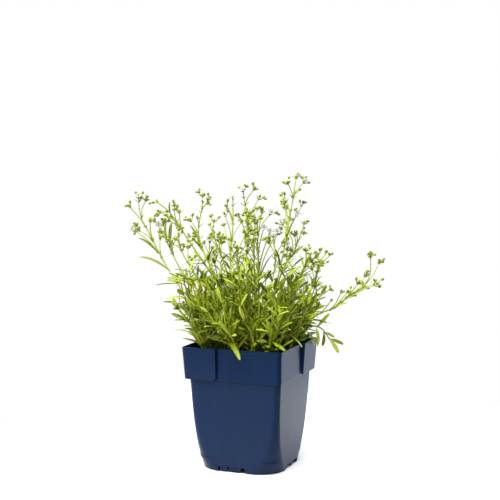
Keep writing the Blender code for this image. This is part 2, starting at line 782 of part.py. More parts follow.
def grow_leaf(room, owner, base, ahead, side, length, width, rise):
    """A leaf that leaves the stem at `side`, turned or shortened until it is clear."""
    across = np.cross(ahead, side)
    for size in (1.0, 0.75):
        for turn in np.radians((0, 18, -18, 36, -36, 54, -54)):
            out = side * math.cos(turn) + across * math.sin(turn)
            heading = ahead * math.cos(rise) + out * math.sin(rise)
            reach = length * size
            t = np.array((0, 0.5, 1.0))[:, None]
            sag = out * 0.18 - UP * 0.12
            line = base + heading * reach * t + sag * reach * t**2
            facing = ahead * math.sin(rise) - out * math.cos(rise)
            balls = balls_along(line, (0.6, width / 2, 0.3))[1:]
            if room.is_free(owner, balls) and room.is_free(None, balls[len(balls) // 3:]):
                return leaf_sections(line, width, facing, (0.35, 1.0)), balls
    return None


def grow_named_leaf(room, owner, route, share, tip, width):
    """A leaf from the stem to a given tip, arched, and moved in depth until it is clear."""
    base, ahead = curve_point(route, share)
    for shift in DEPTH_SHIFTS:
        end = tip + AWAY * shift
        reach = np.linalg.norm(end - base)
        bow = base + (end - base) * 0.45 + ahead * reach * 0.16 + UP * reach * 0.1
        t = np.array((0, 0.36, 0.7, 1.0))[:, None]
        line = (1 - t) ** 2 * base + 2 * t * (1 - t) * bow + t**2 * end
        half = width / 2
        balls = balls_along(line, (0.5, half * 0.95, half * 0.85, 0.3))[1:]
        if room.is_free(owner, balls[2:]):
            room.take(owner, balls)
            facing = UP * 0.8 - AWAY * 0.6 + ahead * 0.3
            return leaf_sections(line, width, facing, (0.3, 0.9, 0.85))
    return None


def grow_pairs(room, owner, route, last, first, step, lengths, widths):
    """Opposite leaves at even steps along the stem, each pair turned a quarter from the last."""
    length = np.linalg.norm(np.diff(route, axis=0), axis=1).sum()
    count = max(1, round((last - first) * length / step))
    turn = draw.uniform(0, math.pi)
    pieces = []
    for i in range(count):
        t = i / max(1, count - 1)
        share = first + (last - first) * t
        base, ahead = curve_point(route, share)
        across, beside = side_vectors(ahead)
        angle = turn + i * math.pi / 2 + draw.uniform(-0.3, 0.3)
        side = across * math.cos(angle) + beside * math.sin(angle)
        width = widths[0] + (widths[1] - widths[0]) * t
        pair = []
        for way in (side, -side):
            reach = (lengths[0] + (lengths[1] - lengths[0]) * t) * draw.uniform(0.8, 1.1)
            rise = math.radians(draw.uniform(30, 52))
            grown = grow_leaf(room, owner, base, ahead, way, reach, width, rise)
            if grown:
                pair.append(grown[0])
                room.take(owner, grown[1])
        pieces += [pair_sections(*pair)] if len(pair) == 2 else pair
    return pieces


def grow_shoot(room, name, order):
    """A leaning shoot at the next place of a spiral over the soil: its root and its stem.

    The shoots get lower towards the soil's edge."""
    inner, outer = SHOOT_PLACES
    out = inner + (outer - inner) * math.sqrt((order + 0.5) / SHOOTS)
    height = draw.uniform(*SHOOT_HEIGHTS) * (1 - EDGE_SHORTENING * out / outer)
    lean = height * draw.uniform(*SHOOT_LEANS)
    for extra in np.radians(np.arange(0, 360, 14)):
        angle = order * math.radians(137.5) + extra
        way = np.array((math.cos(angle), math.sin(angle), 0))
        foot = way * out * min(1.2, 1 / np.abs(way).max()) + UP * SOIL_TOP
        tips = [foot + UP * height * 0.5 + way * lean * 0.35, foot + UP * height + way * lean]
        grown = grow_stem(room, name, foot, tips, TWIG_SIDES)
        if grown:
            return foot, grown
    return None


def grow_branch(room, name, route):
    """A branch that forks low from a shoot's stem and leans outward: its route and rings."""
    start, ahead = curve_point(route, BRANCH_SHARE)
    height = draw.uniform(*BRANCH_HEIGHTS)
    lean = height * draw.uniform(*BRANCH_LEANS)
    turn = math.atan2(start[1], start[0]) + draw.uniform(-BRANCH_FAN, BRANCH_FAN)
    for extra in np.radians(BRANCH_TURNS):
        way = np.array((math.cos(turn + extra), math.sin(turn + extra), 0))
        bend = start + UP * height * 0.45 + way * lean * 0.7
        tip = start + UP * height + way * lean
        line = smooth_route((start, bend, tip), 4)
        radii = np.linspace(BRANCH_RADIUS, STEM_TIP_RADIUS, len(line))
        balls = balls_along(line, radii)
        if np.abs(tip[:2]).max() < BRANCH_REACH and room.is_free(name, balls):
            room.take(name, balls)
            return line, tube_rings(line, radii, TWIG_SIDES)
    return None


def grow_plant():
    """Plans every node's pieces: stems, heads, shoots with their branches, and the leaves last."""
    room = Room()
    plan, routes, branches, roots, blooms = {}, {}, {}, [], {}
    for name, stem in FLOWER_STEMS.items():
        foot = on_soil(stem.root, SOIL_TOP)
        routes[name], trunk = grow_stem(room, name, foot, [sketched(*p) for p in stem.route])
        roots.append(foot)
        plan[name] = [trunk]
    for name, stem in FLOWER_STEMS.items():
        for share, tip, buds, flowers in stem.heads:
            kinds = [f"bloom_{len(blooms) + i + 1:02d}" for i in range(flowers)] + [None] * buds
            pieces, opened = grow_head(room, name, routes[name], share, sketched(*tip), kinds)
            plan[name] += pieces
            blooms.update(opened)
    for order in range(SHOOTS):
        name = f"leafy_shoot_{order + 1:02d}"
        grown = grow_shoot(room, name, order)
        if grown:
            foot, (routes[name], trunk) = grown
            roots.append(foot)
            plan[name] = [trunk]
    for name in [name for name in routes if name not in FLOWER_STEMS]:
        grown = grow_branch(room, name, routes[name])
        if grown:
            branches[name], rings = grown
            plan[name].append(rings)
    for name, stem in FLOWER_STEMS.items():
        for share, tip, width in stem.leaves:
            leaf = grow_named_leaf(room, name, routes[name], share, sketched(*tip), width)
            if leaf:
                plan[name].append(leaf)
    for name, route in routes.items():
        if name not in FLOWER_STEMS:
            plan[name] += grow_pairs(room, name, route, 0.98, **SHOOT_LEAVES)
            if name in branches:
                plan[name] += grow_pairs(room, name, branches[name], 0.96, **BRANCH_LEAVES)
        elif FLOWER_STEMS[name].leafy:
            plan[name] += grow_pairs(room, name, route, FLOWER_STEMS[name].leafy, **STEM_LEAVES)
    return plan, roots, blooms


def make_plant(plan, blooms, green, white):
    for name, pieces in plan.items():
        parts = [solid(f"{name}_piece", rings, green) for rings in pieces]
        parts[0].name = name
        # EXACT leaves edges that touch where one leaf only just grazes another.
        combine(parts[0], parts[1:], "UNION", "MANIFOLD")
    for name, (centre, axis) in blooms.items():
        bloom_solid(name, centre, axis, white)


clear_scene()
navy = make_material("navy_plastic", (0.014, 0.034, 0.098), 0.42)
peat = make_material("peat", (0.030, 0.018, 0.010), 0.95)
leaf_green = make_material("leaf_green", (0.165, 0.300, 0.030), 0.55)
petal_white = make_material("petal_white", (0.86, 0.84, 0.88), 0.6)
plant_plan, stem_roots, open_blooms = grow_plant()
make_pot(navy)
make_soil(stem_roots, peat)
make_plant(plant_plan, open_blooms, leaf_green, petal_white)
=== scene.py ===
"""The look of a potted creeping baby's breath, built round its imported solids.

The lengths here are millimetres, and make_piece() turns them into metres.
"""

import math
from typing import NamedTuple

import bpy
import numpy as np
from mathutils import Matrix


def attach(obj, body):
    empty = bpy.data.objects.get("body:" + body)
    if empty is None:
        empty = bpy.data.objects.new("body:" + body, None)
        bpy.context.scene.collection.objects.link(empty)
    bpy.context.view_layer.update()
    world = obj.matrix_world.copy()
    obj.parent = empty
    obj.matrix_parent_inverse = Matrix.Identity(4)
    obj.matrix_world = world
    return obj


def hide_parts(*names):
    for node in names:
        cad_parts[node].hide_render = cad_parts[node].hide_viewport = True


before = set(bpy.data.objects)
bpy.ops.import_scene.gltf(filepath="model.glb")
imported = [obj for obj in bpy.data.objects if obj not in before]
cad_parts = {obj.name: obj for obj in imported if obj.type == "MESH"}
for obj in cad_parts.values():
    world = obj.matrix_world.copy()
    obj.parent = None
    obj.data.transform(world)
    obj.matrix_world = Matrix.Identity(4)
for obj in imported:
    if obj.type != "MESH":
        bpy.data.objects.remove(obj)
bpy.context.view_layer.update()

# The pot: a square nursery pot, injection-moulded in navy polypropylene with a thin wall. Its
# corners round out towards the foot, an upright collar stands proud at two corners, and the
# skirt below the raised floor has slots, notches and four feet.
MM = 0.001
UP = np.array((0.0, 0.0, 1.0))
POT_HEIGHT = 129.5
COLLAR_BASE = 96.2
BODY_HALF, FOOT_HALF = 50.0, 44.6
BODY_RADIUS, FOOT_RADIUS, ROUNDING_POWER = 5.6, 30.2, 3.6
PLAIN_HALF_BASE, PLAIN_HALF_TOP = 51.6, 52.0
PROUD_HALF_BASE, PROUD_HALF_TOP = 53.7, 55.9
COLLAR_RADIUS = 4.0
PROUD_ENDS, PROUD_END_SLOPE, PROUD_END_CHAMFER = (-13.0, -18.0), 0.8, 4.0
GROOVE = 0.9
LIP_HEIGHT, LIP_PROUD = 3.6, 0.6
WALL = 1.5
FLOOR_UNDERSIDE = 6.0
SKIRT_LIFT, LIFT_HALF = 1.4, 18.8
SLOT_WIDTH, SLOT_PLACES = 1.8, (-18.2, -8.3)
NOTCH_PLACE, NOTCH_FOOT, NOTCH_TOP = 8.1, 6.2, 3.4
OPENINGS, OPENING_TOP = ((-14.9, -0.7), (2.8, 19.8)), 4.6
RECESS, RECESS_TOP = 0.35, 5.2
DRAIN_PLACES = ((0, 0), (22, 22), (-22, 22), (-22, -22), (22, -22))
DRAIN_RADIUS = 4.5
ARC_POINTS = 13


def outline(half, proud, radius, back, height, groove=0.0, bead=0.0):
    """A rounded square at `height`: quarter circles joined by straight sides, swelled by `bead`
    times the sine of twice the angle. Its corners at (-X, -Y) and (+X, +Y) stand out to `proud`,
    each behind a groove, and end along their two faces at PROUD_ENDS from the middles, less
    `back`."""
    sweep = np.linspace(0, math.pi / 2, ARC_POINTS)
    turned = []
    for corner in range(4):
        stands_out = corner % 2 == 0
        out = proud if stands_out else half
        round_off = (radius + bead * np.sin(2 * sweep))[:, None]
        arc = radius - out - round_off * np.column_stack((np.cos(sweep), np.sin(sweep)))
        if stands_out:
            steps = []
            for end in PROUD_ENDS:
                near = max(end - back, radius - out + 1)
                far = near + PROUD_END_SLOPE
                steps.append(np.array(((-half, far + 1.9), (groove - half, far + 1.5),
                                       (groove - half, far + 0.1), (-out, near))))
            arc = np.vstack((steps[0], arc, steps[1][::-1, ::-1]))
        c, s = math.cos(corner * math.pi / 2), math.sin(corner * math.pi / 2)
        turned.append(arc @ np.array(((c, s), (-s, c))))
    plan = np.vstack(turned)
    return np.column_stack((plan, np.full(len(plan), height)))


def body_ring(height, inset=0.0, bead=0.0):
    """The body's outline: towards the foot its half width falls evenly, and its corner radius
    grows by ROUNDING_POWER of the share that is left."""
    low = 1 - min(height, COLLAR_BASE) / COLLAR_BASE
    half = BODY_HALF - (BODY_HALF - FOOT_HALF) * low - inset
    radius = BODY_RADIUS + (FOOT_RADIUS - BODY_RADIUS) * low**ROUNDING_POWER - inset
    return outline(half, half, radius, PROUD_END_CHAMFER, height, bead=bead)


def collar_ring(height, inset=0.0, lip=0.0):
    """The collar's outline. The proud corners' ends curve back over the lowest few mm."""
    above = height - COLLAR_BASE
    rise = above / (POT_HEIGHT - COLLAR_BASE)
    half = PLAIN_HALF_BASE + (PLAIN_HALF_TOP - PLAIN_HALF_BASE) * rise + lip - inset
    proud = PROUD_HALF_BASE + (PROUD_HALF_TOP - PROUD_HALF_BASE) * rise - inset
    left = max(0.0, PROUD_END_CHAMFER - above)
    curve = PROUD_END_CHAMFER - math.sqrt(PROUD_END_CHAMFER**2 - left**2)
    groove = GROOVE if inset == 0 else 0
    return outline(half, proud, COLLAR_RADIUS - inset, inset + curve, height, groove)


def skin(rings, first, last):
    """Points, quads and triangles of closed skins, each a grid of rings that ends in a point.

    `rings` has one row a skin, then stations, then points round; `first` and `last` end them."""
    rings = np.asarray(rings, float)
    count, stations, around = rings.shape[:3]
    first, last = np.reshape(first, (count, 1, 3)), np.reshape(last, (count, 1, 3))
    points = np.concatenate((first, rings.reshape(count, -1, 3), last), axis=1)
    row = 1 + around * np.arange(stations - 1)[:, None]
    j = np.arange(around)
    k = (j + 1) % around
    quads = np.stack((row + j, row + k, row + around + k, row + around + j), -1).reshape(-1, 4)
    top = 1 + around * (stations - 1)
    foot_fan = np.stack((0 * j, 1 + k, 1 + j), -1)
    top_fan = np.stack((top + j, top + k, 0 * j + top + around), -1)
    shift = np.arange(count)[:, None, None] * (stations * around + 2)
    fans = np.concatenate((foot_fan, top_fan))
    return points.reshape(-1, 3), (quads + shift).reshape(-1, 4), (fans + shift).reshape(-1, 3)


def make_piece(name, skins, materials, crease=180, node=None, slot=None):
    """One mesh object from closed skins: (points, quads, triangles, material's place, marks).

    The marks are three numbers a point that the materials read, such as the share along a leaf."""
    points, faces, places, marks, start = [], [], [], [], 0
    for skin_points, quads, fans, place, mark in skins:
        points.append(skin_points)
        faces += (quads + start).tolist() + (fans + start).tolist()
        places.append(np.full(len(quads) + len(fans), place))
        marks.append(np.broadcast_to(mark, skin_points.shape))
        start += len(skin_points)
    mesh = bpy.data.meshes.new(name)
    mesh.from_pydata(np.vstack(points) * MM, [], faces)
    mesh.polygons.foreach_set("material_index", np.concatenate(places).astype(np.int32))
    attribute = mesh.attributes.new("marks", "FLOAT_VECTOR", "POINT")
    attribute.data.foreach_set("vector", np.vstack(marks).astype(np.float32).ravel())
    mesh.shade_smooth()
    if crease < 180:
        mesh.set_sharp_from_angle(angle=math.radians(crease))
    for material in materials:
        mesh.materials.append(material)
    piece = bpy.data.objects.new(name, mesh)
    bpy.context.scene.collection.objects.link(piece)
    if slot:
        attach(piece, "root")
    if node:
        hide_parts(node)
    return piece


def prism(plan, low, high, top_plan=None):
    """An upright prism's skin between two heights, on the plan's points, closed at both ends."""
    plan = np.asarray(plan, float)
    top_plan = plan if top_plan is None else np.asarray(top_plan, float)
    rings = [np.column_stack((p, np.full(len(p), z))) for p, z in ((plan, low), (top_plan, high))]
    return (*skin([rings], rings[0].mean(axis=0), rings[1].mean(axis=0)), 0, (0, 0, 0))


def skirt_cuts():
    """The skins that leave the four feet, and cut slots, an open notch and a shallow recess
    between them in the sides that face -Y and +Y, and two wide openings in the other sides."""
    cuts = []
    for side in range(4):
        c, s = math.cos(side * math.pi / 2), math.sin(side * math.pi / 2)
        turn = np.array(((c, s), (-s, c)))

        def across(left, right, low, high, top=None, depth=6.0):
            sides = []
            for a, b in ((left, right), top or (left, right)):
                box = ((a, -FOOT_HALF - 6), (b, -FOOT_HALF - 6), (b, depth - FOOT_HALF),
                       (a, depth - FOOT_HALF))
                sides.append(np.array(box) @ turn)
            return prism(sides[0], low, high, sides[1])

        cuts.append(across(-LIFT_HALF, LIFT_HALF, -1, SKIRT_LIFT))
        if side % 2:
            cuts += [across(*ends, -2, OPENING_TOP) for ends in OPENINGS]
            continue
        cuts.append(across(SLOT_PLACES[0], NOTCH_PLACE, -1, RECESS_TOP, depth=RECESS))
        for place in SLOT_PLACES:
            half = SLOT_WIDTH / 2
            cuts.append(across(place - half, place + half, 1, FLOOR_UNDERSIDE - 0.3))
        foot, top = NOTCH_FOOT / 2, NOTCH_TOP / 2
        cuts.append(across(NOTCH_PLACE - foot, NOTCH_PLACE + foot, 1, FLOOR_UNDERSIDE - 0.3,
                           (NOTCH_PLACE - top, NOTCH_PLACE + top)))
    turns = np.linspace(0, 2 * math.pi, 28, endpoint=False)
    circle = DRAIN_RADIUS * np.column_stack((np.cos(turns), np.sin(turns)))
    cuts += [prism(circle + place, FLOOR_UNDERSIDE - 2, FLOOR_UNDERSIDE + WALL + 2)
             for place in DRAIN_PLACES]
    return cuts


def node(tree, kind, values=None, links=None, **settings):
    """Adds a node with its settings, its inputs' values and the outputs that feed its inputs."""
    made = tree.nodes.new(kind)
    for name, value in settings.items():
        setattr(made, name, value)
    for name, value in (values or {}).items():
        made.inputs[name].default_value = value
    for name, source in (links or {}).items():
        tree.links.new(source, made.inputs[name])
    return made


def linear(colour):
    """The linear RGBA of an sRGB hex colour."""
    share = np.array([int(colour[i : i + 2], 16) for i in (1, 3, 5)]) / 255
    share = np.where(share > 0.04045, ((share + 0.055) / 1.055) ** 2.4, share / 12.92)
    return (*share.tolist(), 1.0)


def new_material(name, **sockets):
    """A material with its Principled shader's own sockets set: the material, tree and shader."""
    material = bpy.data.materials.new(name)
    material.use_nodes = True
    shader = material.node_tree.nodes["Principled BSDF"]
    for socket, value in sockets.items():
        shader.inputs[socket.replace("_", " ")].default_value = value
    return material, material.node_tree, shader


# Moulded polypropylene: deep navy with a satin gloss, whose flow marks run upright. A fine
# leather grain breaks the gloss, and dust lightens it in patches near the foot.
polypropylene, tree, shader = new_material("moulded_polypropylene", IOR=1.49,
                                           Specular_IOR_Level=0.12)
place = node(tree, "ShaderNodeTexCoord").outputs["Object"]
flow = node(tree, "ShaderNodeMapping", {"Scale": (170, 170, 7)}, {"Vector": place})
streaks = node(tree, "ShaderNodeTexNoise", {"Scale": 1.0, "Detail": 3.0},
               {"Vector": flow.outputs[0]}).outputs["Fac"]
tint = node(tree, "ShaderNodeMix", {6: linear("#051b37"), 7: linear("#082140")}, {0: streaks},
            data_type="RGBA")
height = node(tree, "ShaderNodeSeparateXYZ", links={0: place}).outputs[2]
low = node(tree, "ShaderNodeMapRange", {"From Min": 0.05, "From Max": 0.0, "To Max": 0.12},
           {"Value": height})
patches = node(tree, "ShaderNodeTexNoise", {"Scale": 60.0, "Detail": 5.0}, {"Vector": place})
dust = node(tree, "ShaderNodeMath", links={0: low.outputs[0], 1: patches.outputs["Fac"]},
            operation="MULTIPLY")
dusted = node(tree, "ShaderNodeMix", {7: linear("#4a4f5a")}, {0: dust.outputs[0],
                                                              6: tint.outputs[2]},
              data_type="RGBA")
tree.links.new(dusted.outputs[2], shader.inputs["Base Color"])
gloss = node(tree, "ShaderNodeMapRange", {"To Min": 0.2, "To Max": 0.3}, {"Value": streaks})
tree.links.new(gloss.outputs[0], shader.inputs["Roughness"])
grain = node(tree, "ShaderNodeTexNoise", {"Scale": 1400.0, "Detail": 2.0}, {"Vector": place})
bump = node(tree, "ShaderNodeBump", {"Strength": 0.12, "Distance": 0.0002},
            {"Height": grain.outputs["Fac"]})
tree.links.new(bump.outputs[0], shader.inputs["Normal"])

floor_top = FLOOR_UNDERSIDE + WALL
ledge = COLLAR_BASE + WALL
lip_base = POT_HEIGHT - LIP_HEIGHT
profile = [body_ring(FLOOR_UNDERSIDE, WALL), body_ring(0.4, WALL), body_ring(0, WALL - 0.4)]
profile += [body_ring(0, 0.4), body_ring(0.12, 0.12), body_ring(0.4)]
profile += [body_ring(level) for level in (2, 4, 6, 8, 10, 11.3)]
for bead in (11.6, 13.8):
    profile += [body_ring(bead), body_ring(bead + 0.15, 0, 0.6), body_ring(bead + 0.75, 0, 0.6),
                body_ring(bead + 0.9)]
profile += [body_ring(level) for level in (15.2, 17, 20, 24, 29, 35, 42, 50, 60, 72, 84,
                                            COLLAR_BASE)]
profile += [collar_ring(COLLAR_BASE, 0.35), collar_ring(COLLAR_BASE + 0.1, 0.1)]
profile += [collar_ring(COLLAR_BASE + up) for up in (0.35, 0.9, 1.7, 2.7, PROUD_END_CHAMFER)]
profile += [collar_ring(lip_base - LIP_PROUD), collar_ring(lip_base - 0.1, lip=LIP_PROUD - 0.1)]
profile += [collar_ring(lip_base + 0.3, lip=LIP_PROUD), collar_ring(POT_HEIGHT - 0.45,
                                                                   lip=LIP_PROUD)]
profile += [collar_ring(POT_HEIGHT - 0.13, 0.13, LIP_PROUD), collar_ring(POT_HEIGHT, 0.45,
                                                                        LIP_PROUD)]
profile += [collar_ring(POT_HEIGHT, WALL - 0.4, LIP_PROUD)]
profile += [collar_ring(POT_HEIGHT - 0.4, WALL, LIP_PROUD)]
profile += [collar_ring(ledge + PROUD_END_CHAMFER, WALL), collar_ring(ledge, WALL)]
profile += [body_ring(level, WALL) for level in (ledge, 80, 60, 45, 30, 20, 14, floor_top)]
shell = skin([profile], UP * FLOOR_UNDERSIDE, UP * floor_top)
pot = make_piece("nursery_pot", [(*shell, 0, (0, 0, 0))], [polypropylene], 30, "pot",
                 "navy_plastic")
cuts = [make_piece("cut", [cut], []) for cut in skirt_cuts()]
group = bpy.data.collections.new("cuts")
for cut in cuts:
    bpy.context.scene.collection.objects.unlink(cut)
    group.objects.link(cut)
boolean = pot.modifiers.new("Cuts", "BOOLEAN")
boolean.operand_type, boolean.collection, boolean.solver = "COLLECTION", group, "EXACT"
bpy.context.view_layer.objects.active = pot
bpy.ops.object.modifier_apply(modifier=boolean.name)
for cut in cuts:
    bpy.data.objects.remove(cut)
bpy.data.collections.remove(group)
pot.data.set_sharp_from_angle(angle=math.radians(30))
pot.modifiers.new("Normals", "WEIGHTED_NORMAL").keep_sharp = True

# The root ball: dark peat with bark crumbs and fibres, pressed into the pot to a little below
# its rim. Loose crumbs and chips of bark lie on it.
GAP = 0.3
SOIL_TOP = 120.5
SOIL_SHOULDER = 118.0
SOIL_TOP_HALF = 45.0
SOIL_POINTS, SOIL_STEPS = 200, 42
HEAP, HEAP_REACH = 6.0, 45.0
earth = np.random.default_rng(11)
waves = [earth.uniform(0, 2 * math.pi, (2, 22)), np.geomspace(26, 3.2, 22)]


def lumps(plan):
    """How far the peat stands above its level: a flat heap whose height falls by the sixth power
    of the distances from the middle, with rectified sine ripples of random direction added, each
    as high as a part of its length."""
    (way, phase), length = waves
    along = plan @ np.stack((np.cos(way), np.sin(way)))
    ripples = 1 - 2 * np.abs(np.sin(math.pi * along / length + phase))
    heap = HEAP * np.clip(1 - ((plan / HEAP_REACH) ** 6).sum(axis=-1), 0, 1)
    return heap + (ripples * length**0.7).sum(axis=-1) * 0.075


def lengths_along(points):
    """How far along the line of points each one lies."""
    return np.concatenate(((0,), np.cumsum(np.linalg.norm(np.diff(points, axis=0), axis=1))))


def spaced(points, count, closed=False):
    """`count` points at equal steps along the line of points, or round it if it is closed."""
    line = np.vstack((points, points[:1])) if closed else points
    along = lengths_along(line)
    wanted = np.linspace(0, along[-1], count, endpoint=not closed)
    return np.column_stack([np.interp(wanted, along, line[:, axis]) for axis in range(3)])


def tumbled(count, spread):
    """Random turns, as matrices from unit quaternions. A `spread` under 1 leaves them flatter."""
    w, x, y, z = earth.normal(size=(4, count)) * np.array((1, spread, spread, 1))[:, None]
    length = np.sqrt(w * w + x * x + y * y + z * z)
    w, x, y, z = w / length, x / length, y / length, z / length
    rows = ((1 - 2 * (y * y + z * z), 2 * (x * y - w * z), 2 * (x * z + w * y)),
            (2 * (x * y + w * z), 1 - 2 * (x * x + z * z), 2 * (y * z - w * x)),
            (2 * (x * z - w * y), 2 * (y * z + w * x), 1 - 2 * (x * x + y * y)))
    return np.moveaxis(np.array(rows), 2, 0)


def crumbs(places, sizes, flat=1.0):
    """Skins of rough lumps: a ball of two rings of five points, each point pushed in or out by
    chance, scaled to `sizes` (three a lump), turned at random and set at `places`."""
    count = len(places)
    turns = 2 * math.pi * (np.arange(5) + np.array((0, 0.5))[:, None]) / 5
    ball = np.stack((np.cos(turns) * 0.9, np.sin(turns) * 0.9,
                     np.array((-0.45, 0.45))[:, None] + 0 * turns), -1)
    rings = ball * earth.uniform(0.65, 1.15, (count, 2, 5, 1))
    ends = np.array((0, 0, 0.95)) * earth.uniform(0.7, 1.1, (count, 1))
    turn = tumbled(count, flat)
    rings = np.einsum("nij,nabj->nabi", turn, rings * sizes[:, None, None])
    ends = np.einsum("nij,nj->ni", turn, ends * sizes)
    return skin(rings + places[:, None, None], places - ends, places + ends)


# Moist peat: nearly black brown, crumbly and dull, with lighter fibres at about 1 mm.
peat, tree, shader = new_material("moist_peat", Roughness=0.92, Specular_IOR_Level=0.25)
place = node(tree, "ShaderNodeTexCoord").outputs["Object"]
fibres = node(tree, "ShaderNodeTexNoise", {"Scale": 900.0, "Detail": 4.0, "Roughness": 0.7},
              {"Vector": place})
clods = node(tree, "ShaderNodeTexVoronoi", {"Scale": 380.0}, {"Vector": place})
tint = node(tree, "ShaderNodeMix", {6: linear("#1f1509"), 7: linear("#5a4220")},
            {0: fibres.outputs["Fac"]}, data_type="RGBA")
tree.links.new(tint.outputs[2], shader.inputs["Base Color"])
rough = node(tree, "ShaderNodeMath", links={0: fibres.outputs["Fac"], 1: clods.outputs[0]},
             operation="ADD")
bump = node(tree, "ShaderNodeBump", {"Strength": 0.8, "Distance": 0.0008},
            {"Height": rough.outputs[0]})
tree.links.new(bump.outputs[0], shader.inputs["Normal"])

# Bark and plant litter: dry, fibrous, from dark brown to straw. The marks' last number is each
# bit's own tone.
litter, tree, shader = new_material("bark_litter", Roughness=0.85, Specular_IOR_Level=0.3)
place = node(tree, "ShaderNodeTexCoord").outputs["Object"]
marks = node(tree, "ShaderNodeAttribute", attribute_name="marks")
tone = node(tree, "ShaderNodeSeparateXYZ", links={0: marks.outputs["Vector"]}).outputs[2]
tint = node(tree, "ShaderNodeMix", {6: linear("#3a2810"), 7: linear("#9a8044")}, {0: tone},
            data_type="RGBA")
grain = node(tree, "ShaderNodeTexNoise", {"Scale": 1300.0, "Detail": 3.0}, {"Vector": place})
speck = node(tree, "ShaderNodeMix", {7: linear("#1a100a")}, {0: grain.outputs["Fac"],
                                                            6: tint.outputs[2]},
             data_type="RGBA")
tree.links.new(speck.outputs[2], shader.inputs["Base Color"])
bump = node(tree, "ShaderNodeBump", {"Strength": 0.5, "Distance": 0.0004},
            {"Height": grain.outputs["Fac"]})
tree.links.new(bump.outputs[0], shader.inputs["Normal"])

inset = WALL + GAP
rings = [body_ring(level, inset) for level in (floor_top + GAP, 14, 45, ledge + GAP)]
rings += [collar_ring(level, inset) for level in (ledge + GAP, ledge + GAP + 4, SOIL_SHOULDER)]
rings = [spaced(ring, SOIL_POINTS, closed=True) for ring in rings]
edge = outline(SOIL_TOP_HALF, SOIL_TOP_HALF, COLLAR_RADIUS, 0, 0)
edge = spaced(edge, SOIL_POINTS, closed=True)[:, :2]
for share in np.linspace(1, 0.02, SOIL_STEPS):
    plan = edge * share
    rings.append(np.column_stack((plan, SOIL_TOP + lumps(plan))))
middle = np.array((0, 0, SOIL_TOP + lumps(np.zeros(2))))
ball = skin([rings], UP * (floor_top + GAP), middle)
make_piece("root_ball", [(*ball, 0, (0, 0, 0))], [peat], 180, "soil", "peat")


def on_peat(count, half, lift):
    """Random places on the peat, with their middles `lift` mm above it."""
    plan = earth.uniform(-half, half, (count, 2))
    return np.column_stack((plan, SOIL_TOP + lumps(plan) + lift))


def strew(name, count, half, lift, material, sizes, shapes, flat, tones=None, darker=1.0):
    """Loose bits on the peat: a size for each, times its own length, width and height. They
    take one tone of 0.5, or one each between the two `tones`, to the power of `darker`."""
    sizes = earth.uniform(*sizes, (count, 1)) * earth.uniform(*shapes, (count, 3))
    bits = crumbs(on_peat(count, half, lift), sizes, flat)
    marks = (0, 0, 0.5)
    if tones:
        tone = np.repeat(earth.uniform(*tones, count) ** darker, len(bits[0]) // count)
        marks = np.column_stack((0 * tone, 0 * tone, tone))
    make_piece(name, [(*bits, 0, marks)], [material], 40 if tones else 50, slot="peat")


strew("peat_crumbs", 900, 45.5, 0.3, peat, (0.5, 1.7), (0.7, 1.2), 1.0)
strew("bark_chips", 260, 44, 0.8, litter, (0.8, 1.9), ((1.2, 0.5, 0.18), (2.6, 1.0, 0.4)), 0.3,
      (0, 1), 1.3)
strew("large_bark_chips", 90, 42, 1.6, litter, (1.3, 2.4), ((1.3, 0.6, 0.25), (2.4, 1.1, 0.5)),
      0.6, (0.1, 1))

# The plan of the plant: where its flowering stems, leafy shoots, twigs, buds, blooms and leaves
# run. It grows them as the solids were grown, from the same table and the same draws.
# The sketch plane stands upright through the pot's middle and faces the viewing side.
# One square of the sketch is 1.06 mm, and a point keeps its place in the view at any depth.
VIEW_TURN = math.radians(21.5)
VIEW_DISTANCE = 1200.0
VIEW_HEIGHT = 328.5
SQUARE = 1.06
RIGHT = np.array((math.cos(VIEW_TURN), math.sin(VIEW_TURN), 0.0))
AWAY = np.array((-math.sin(VIEW_TURN), math.cos(VIEW_TURN), 0.0))
EYE = -AWAY * VIEW_DISTANCE + UP * VIEW_HEIGHT
ROOT_DEPTH = 9.0
STEM_ROOT_RADIUS, STEM_TIP_RADIUS = 0.95, 0.55
TWIG_RADIUS, PEDICEL_RADIUS = 0.5, 0.42
STATION_STEP = 22.5
BUD_RADIUS, BUD_LENGTH = 1.4, 3.8
CALYX_RADIUS, CALYX_LENGTH = 1.0, 2.0
LONG_TWIG = 12.0
HEAD_SPREAD = math.radians(40)
PETAL_LENGTH, PETAL_THICKNESS = 3.8, 0.7
BLOOM_LEAN = 0.8
CLEARANCE = 0.4
BOWS = (0, 3, -3, 6, -6, 9, -9, 13, -13)
DEPTH_SHIFTS = (0, 4, -4, 8, -8, 12, -12, 16, -16)
TWIG_TURNS = (0, 30, -30, 60, -60, 90, -90, 120, -120, 150, -150)
LEAF_TURNS = (0, 18, -18, 36, -36, 54, -54)
SHOOTS = 22
SHOOT_PLACES = (8, 40)
SHOOT_HEIGHTS = (66, 108)
SHOOT_LEANS = (0.16, 0.46)
EDGE_SHORTENING = 0.3
BRANCH_SHARE = 0.22
BRANCH_RADIUS = 0.75
BRANCH_HEIGHTS = (40, 78)
BRANCH_LEANS = (0.3, 0.65)
BRANCH_REACH = 72.0
BRANCH_FAN = 0.7
BRANCH_TURNS = (0, 20, -20, 40, -40, 60, -60, 80, -80, 110, -110, 150, -150)
STEM_LEAVES = {"first": 0.07, "step": 20, "lengths": (25, 16), "widths": (3.8, 2.8)}
SHOOT_LEAVES = {"first": 0.16, "step": 25, "lengths": (25, 19), "widths": (4.4, 3.4)}
BRANCH_LEAVES = {"first": 0.4, "step": 25, "lengths": (24, 18), "widths": (4.2, 3.4)}
SEED = 7
BLUNTER = 1.2


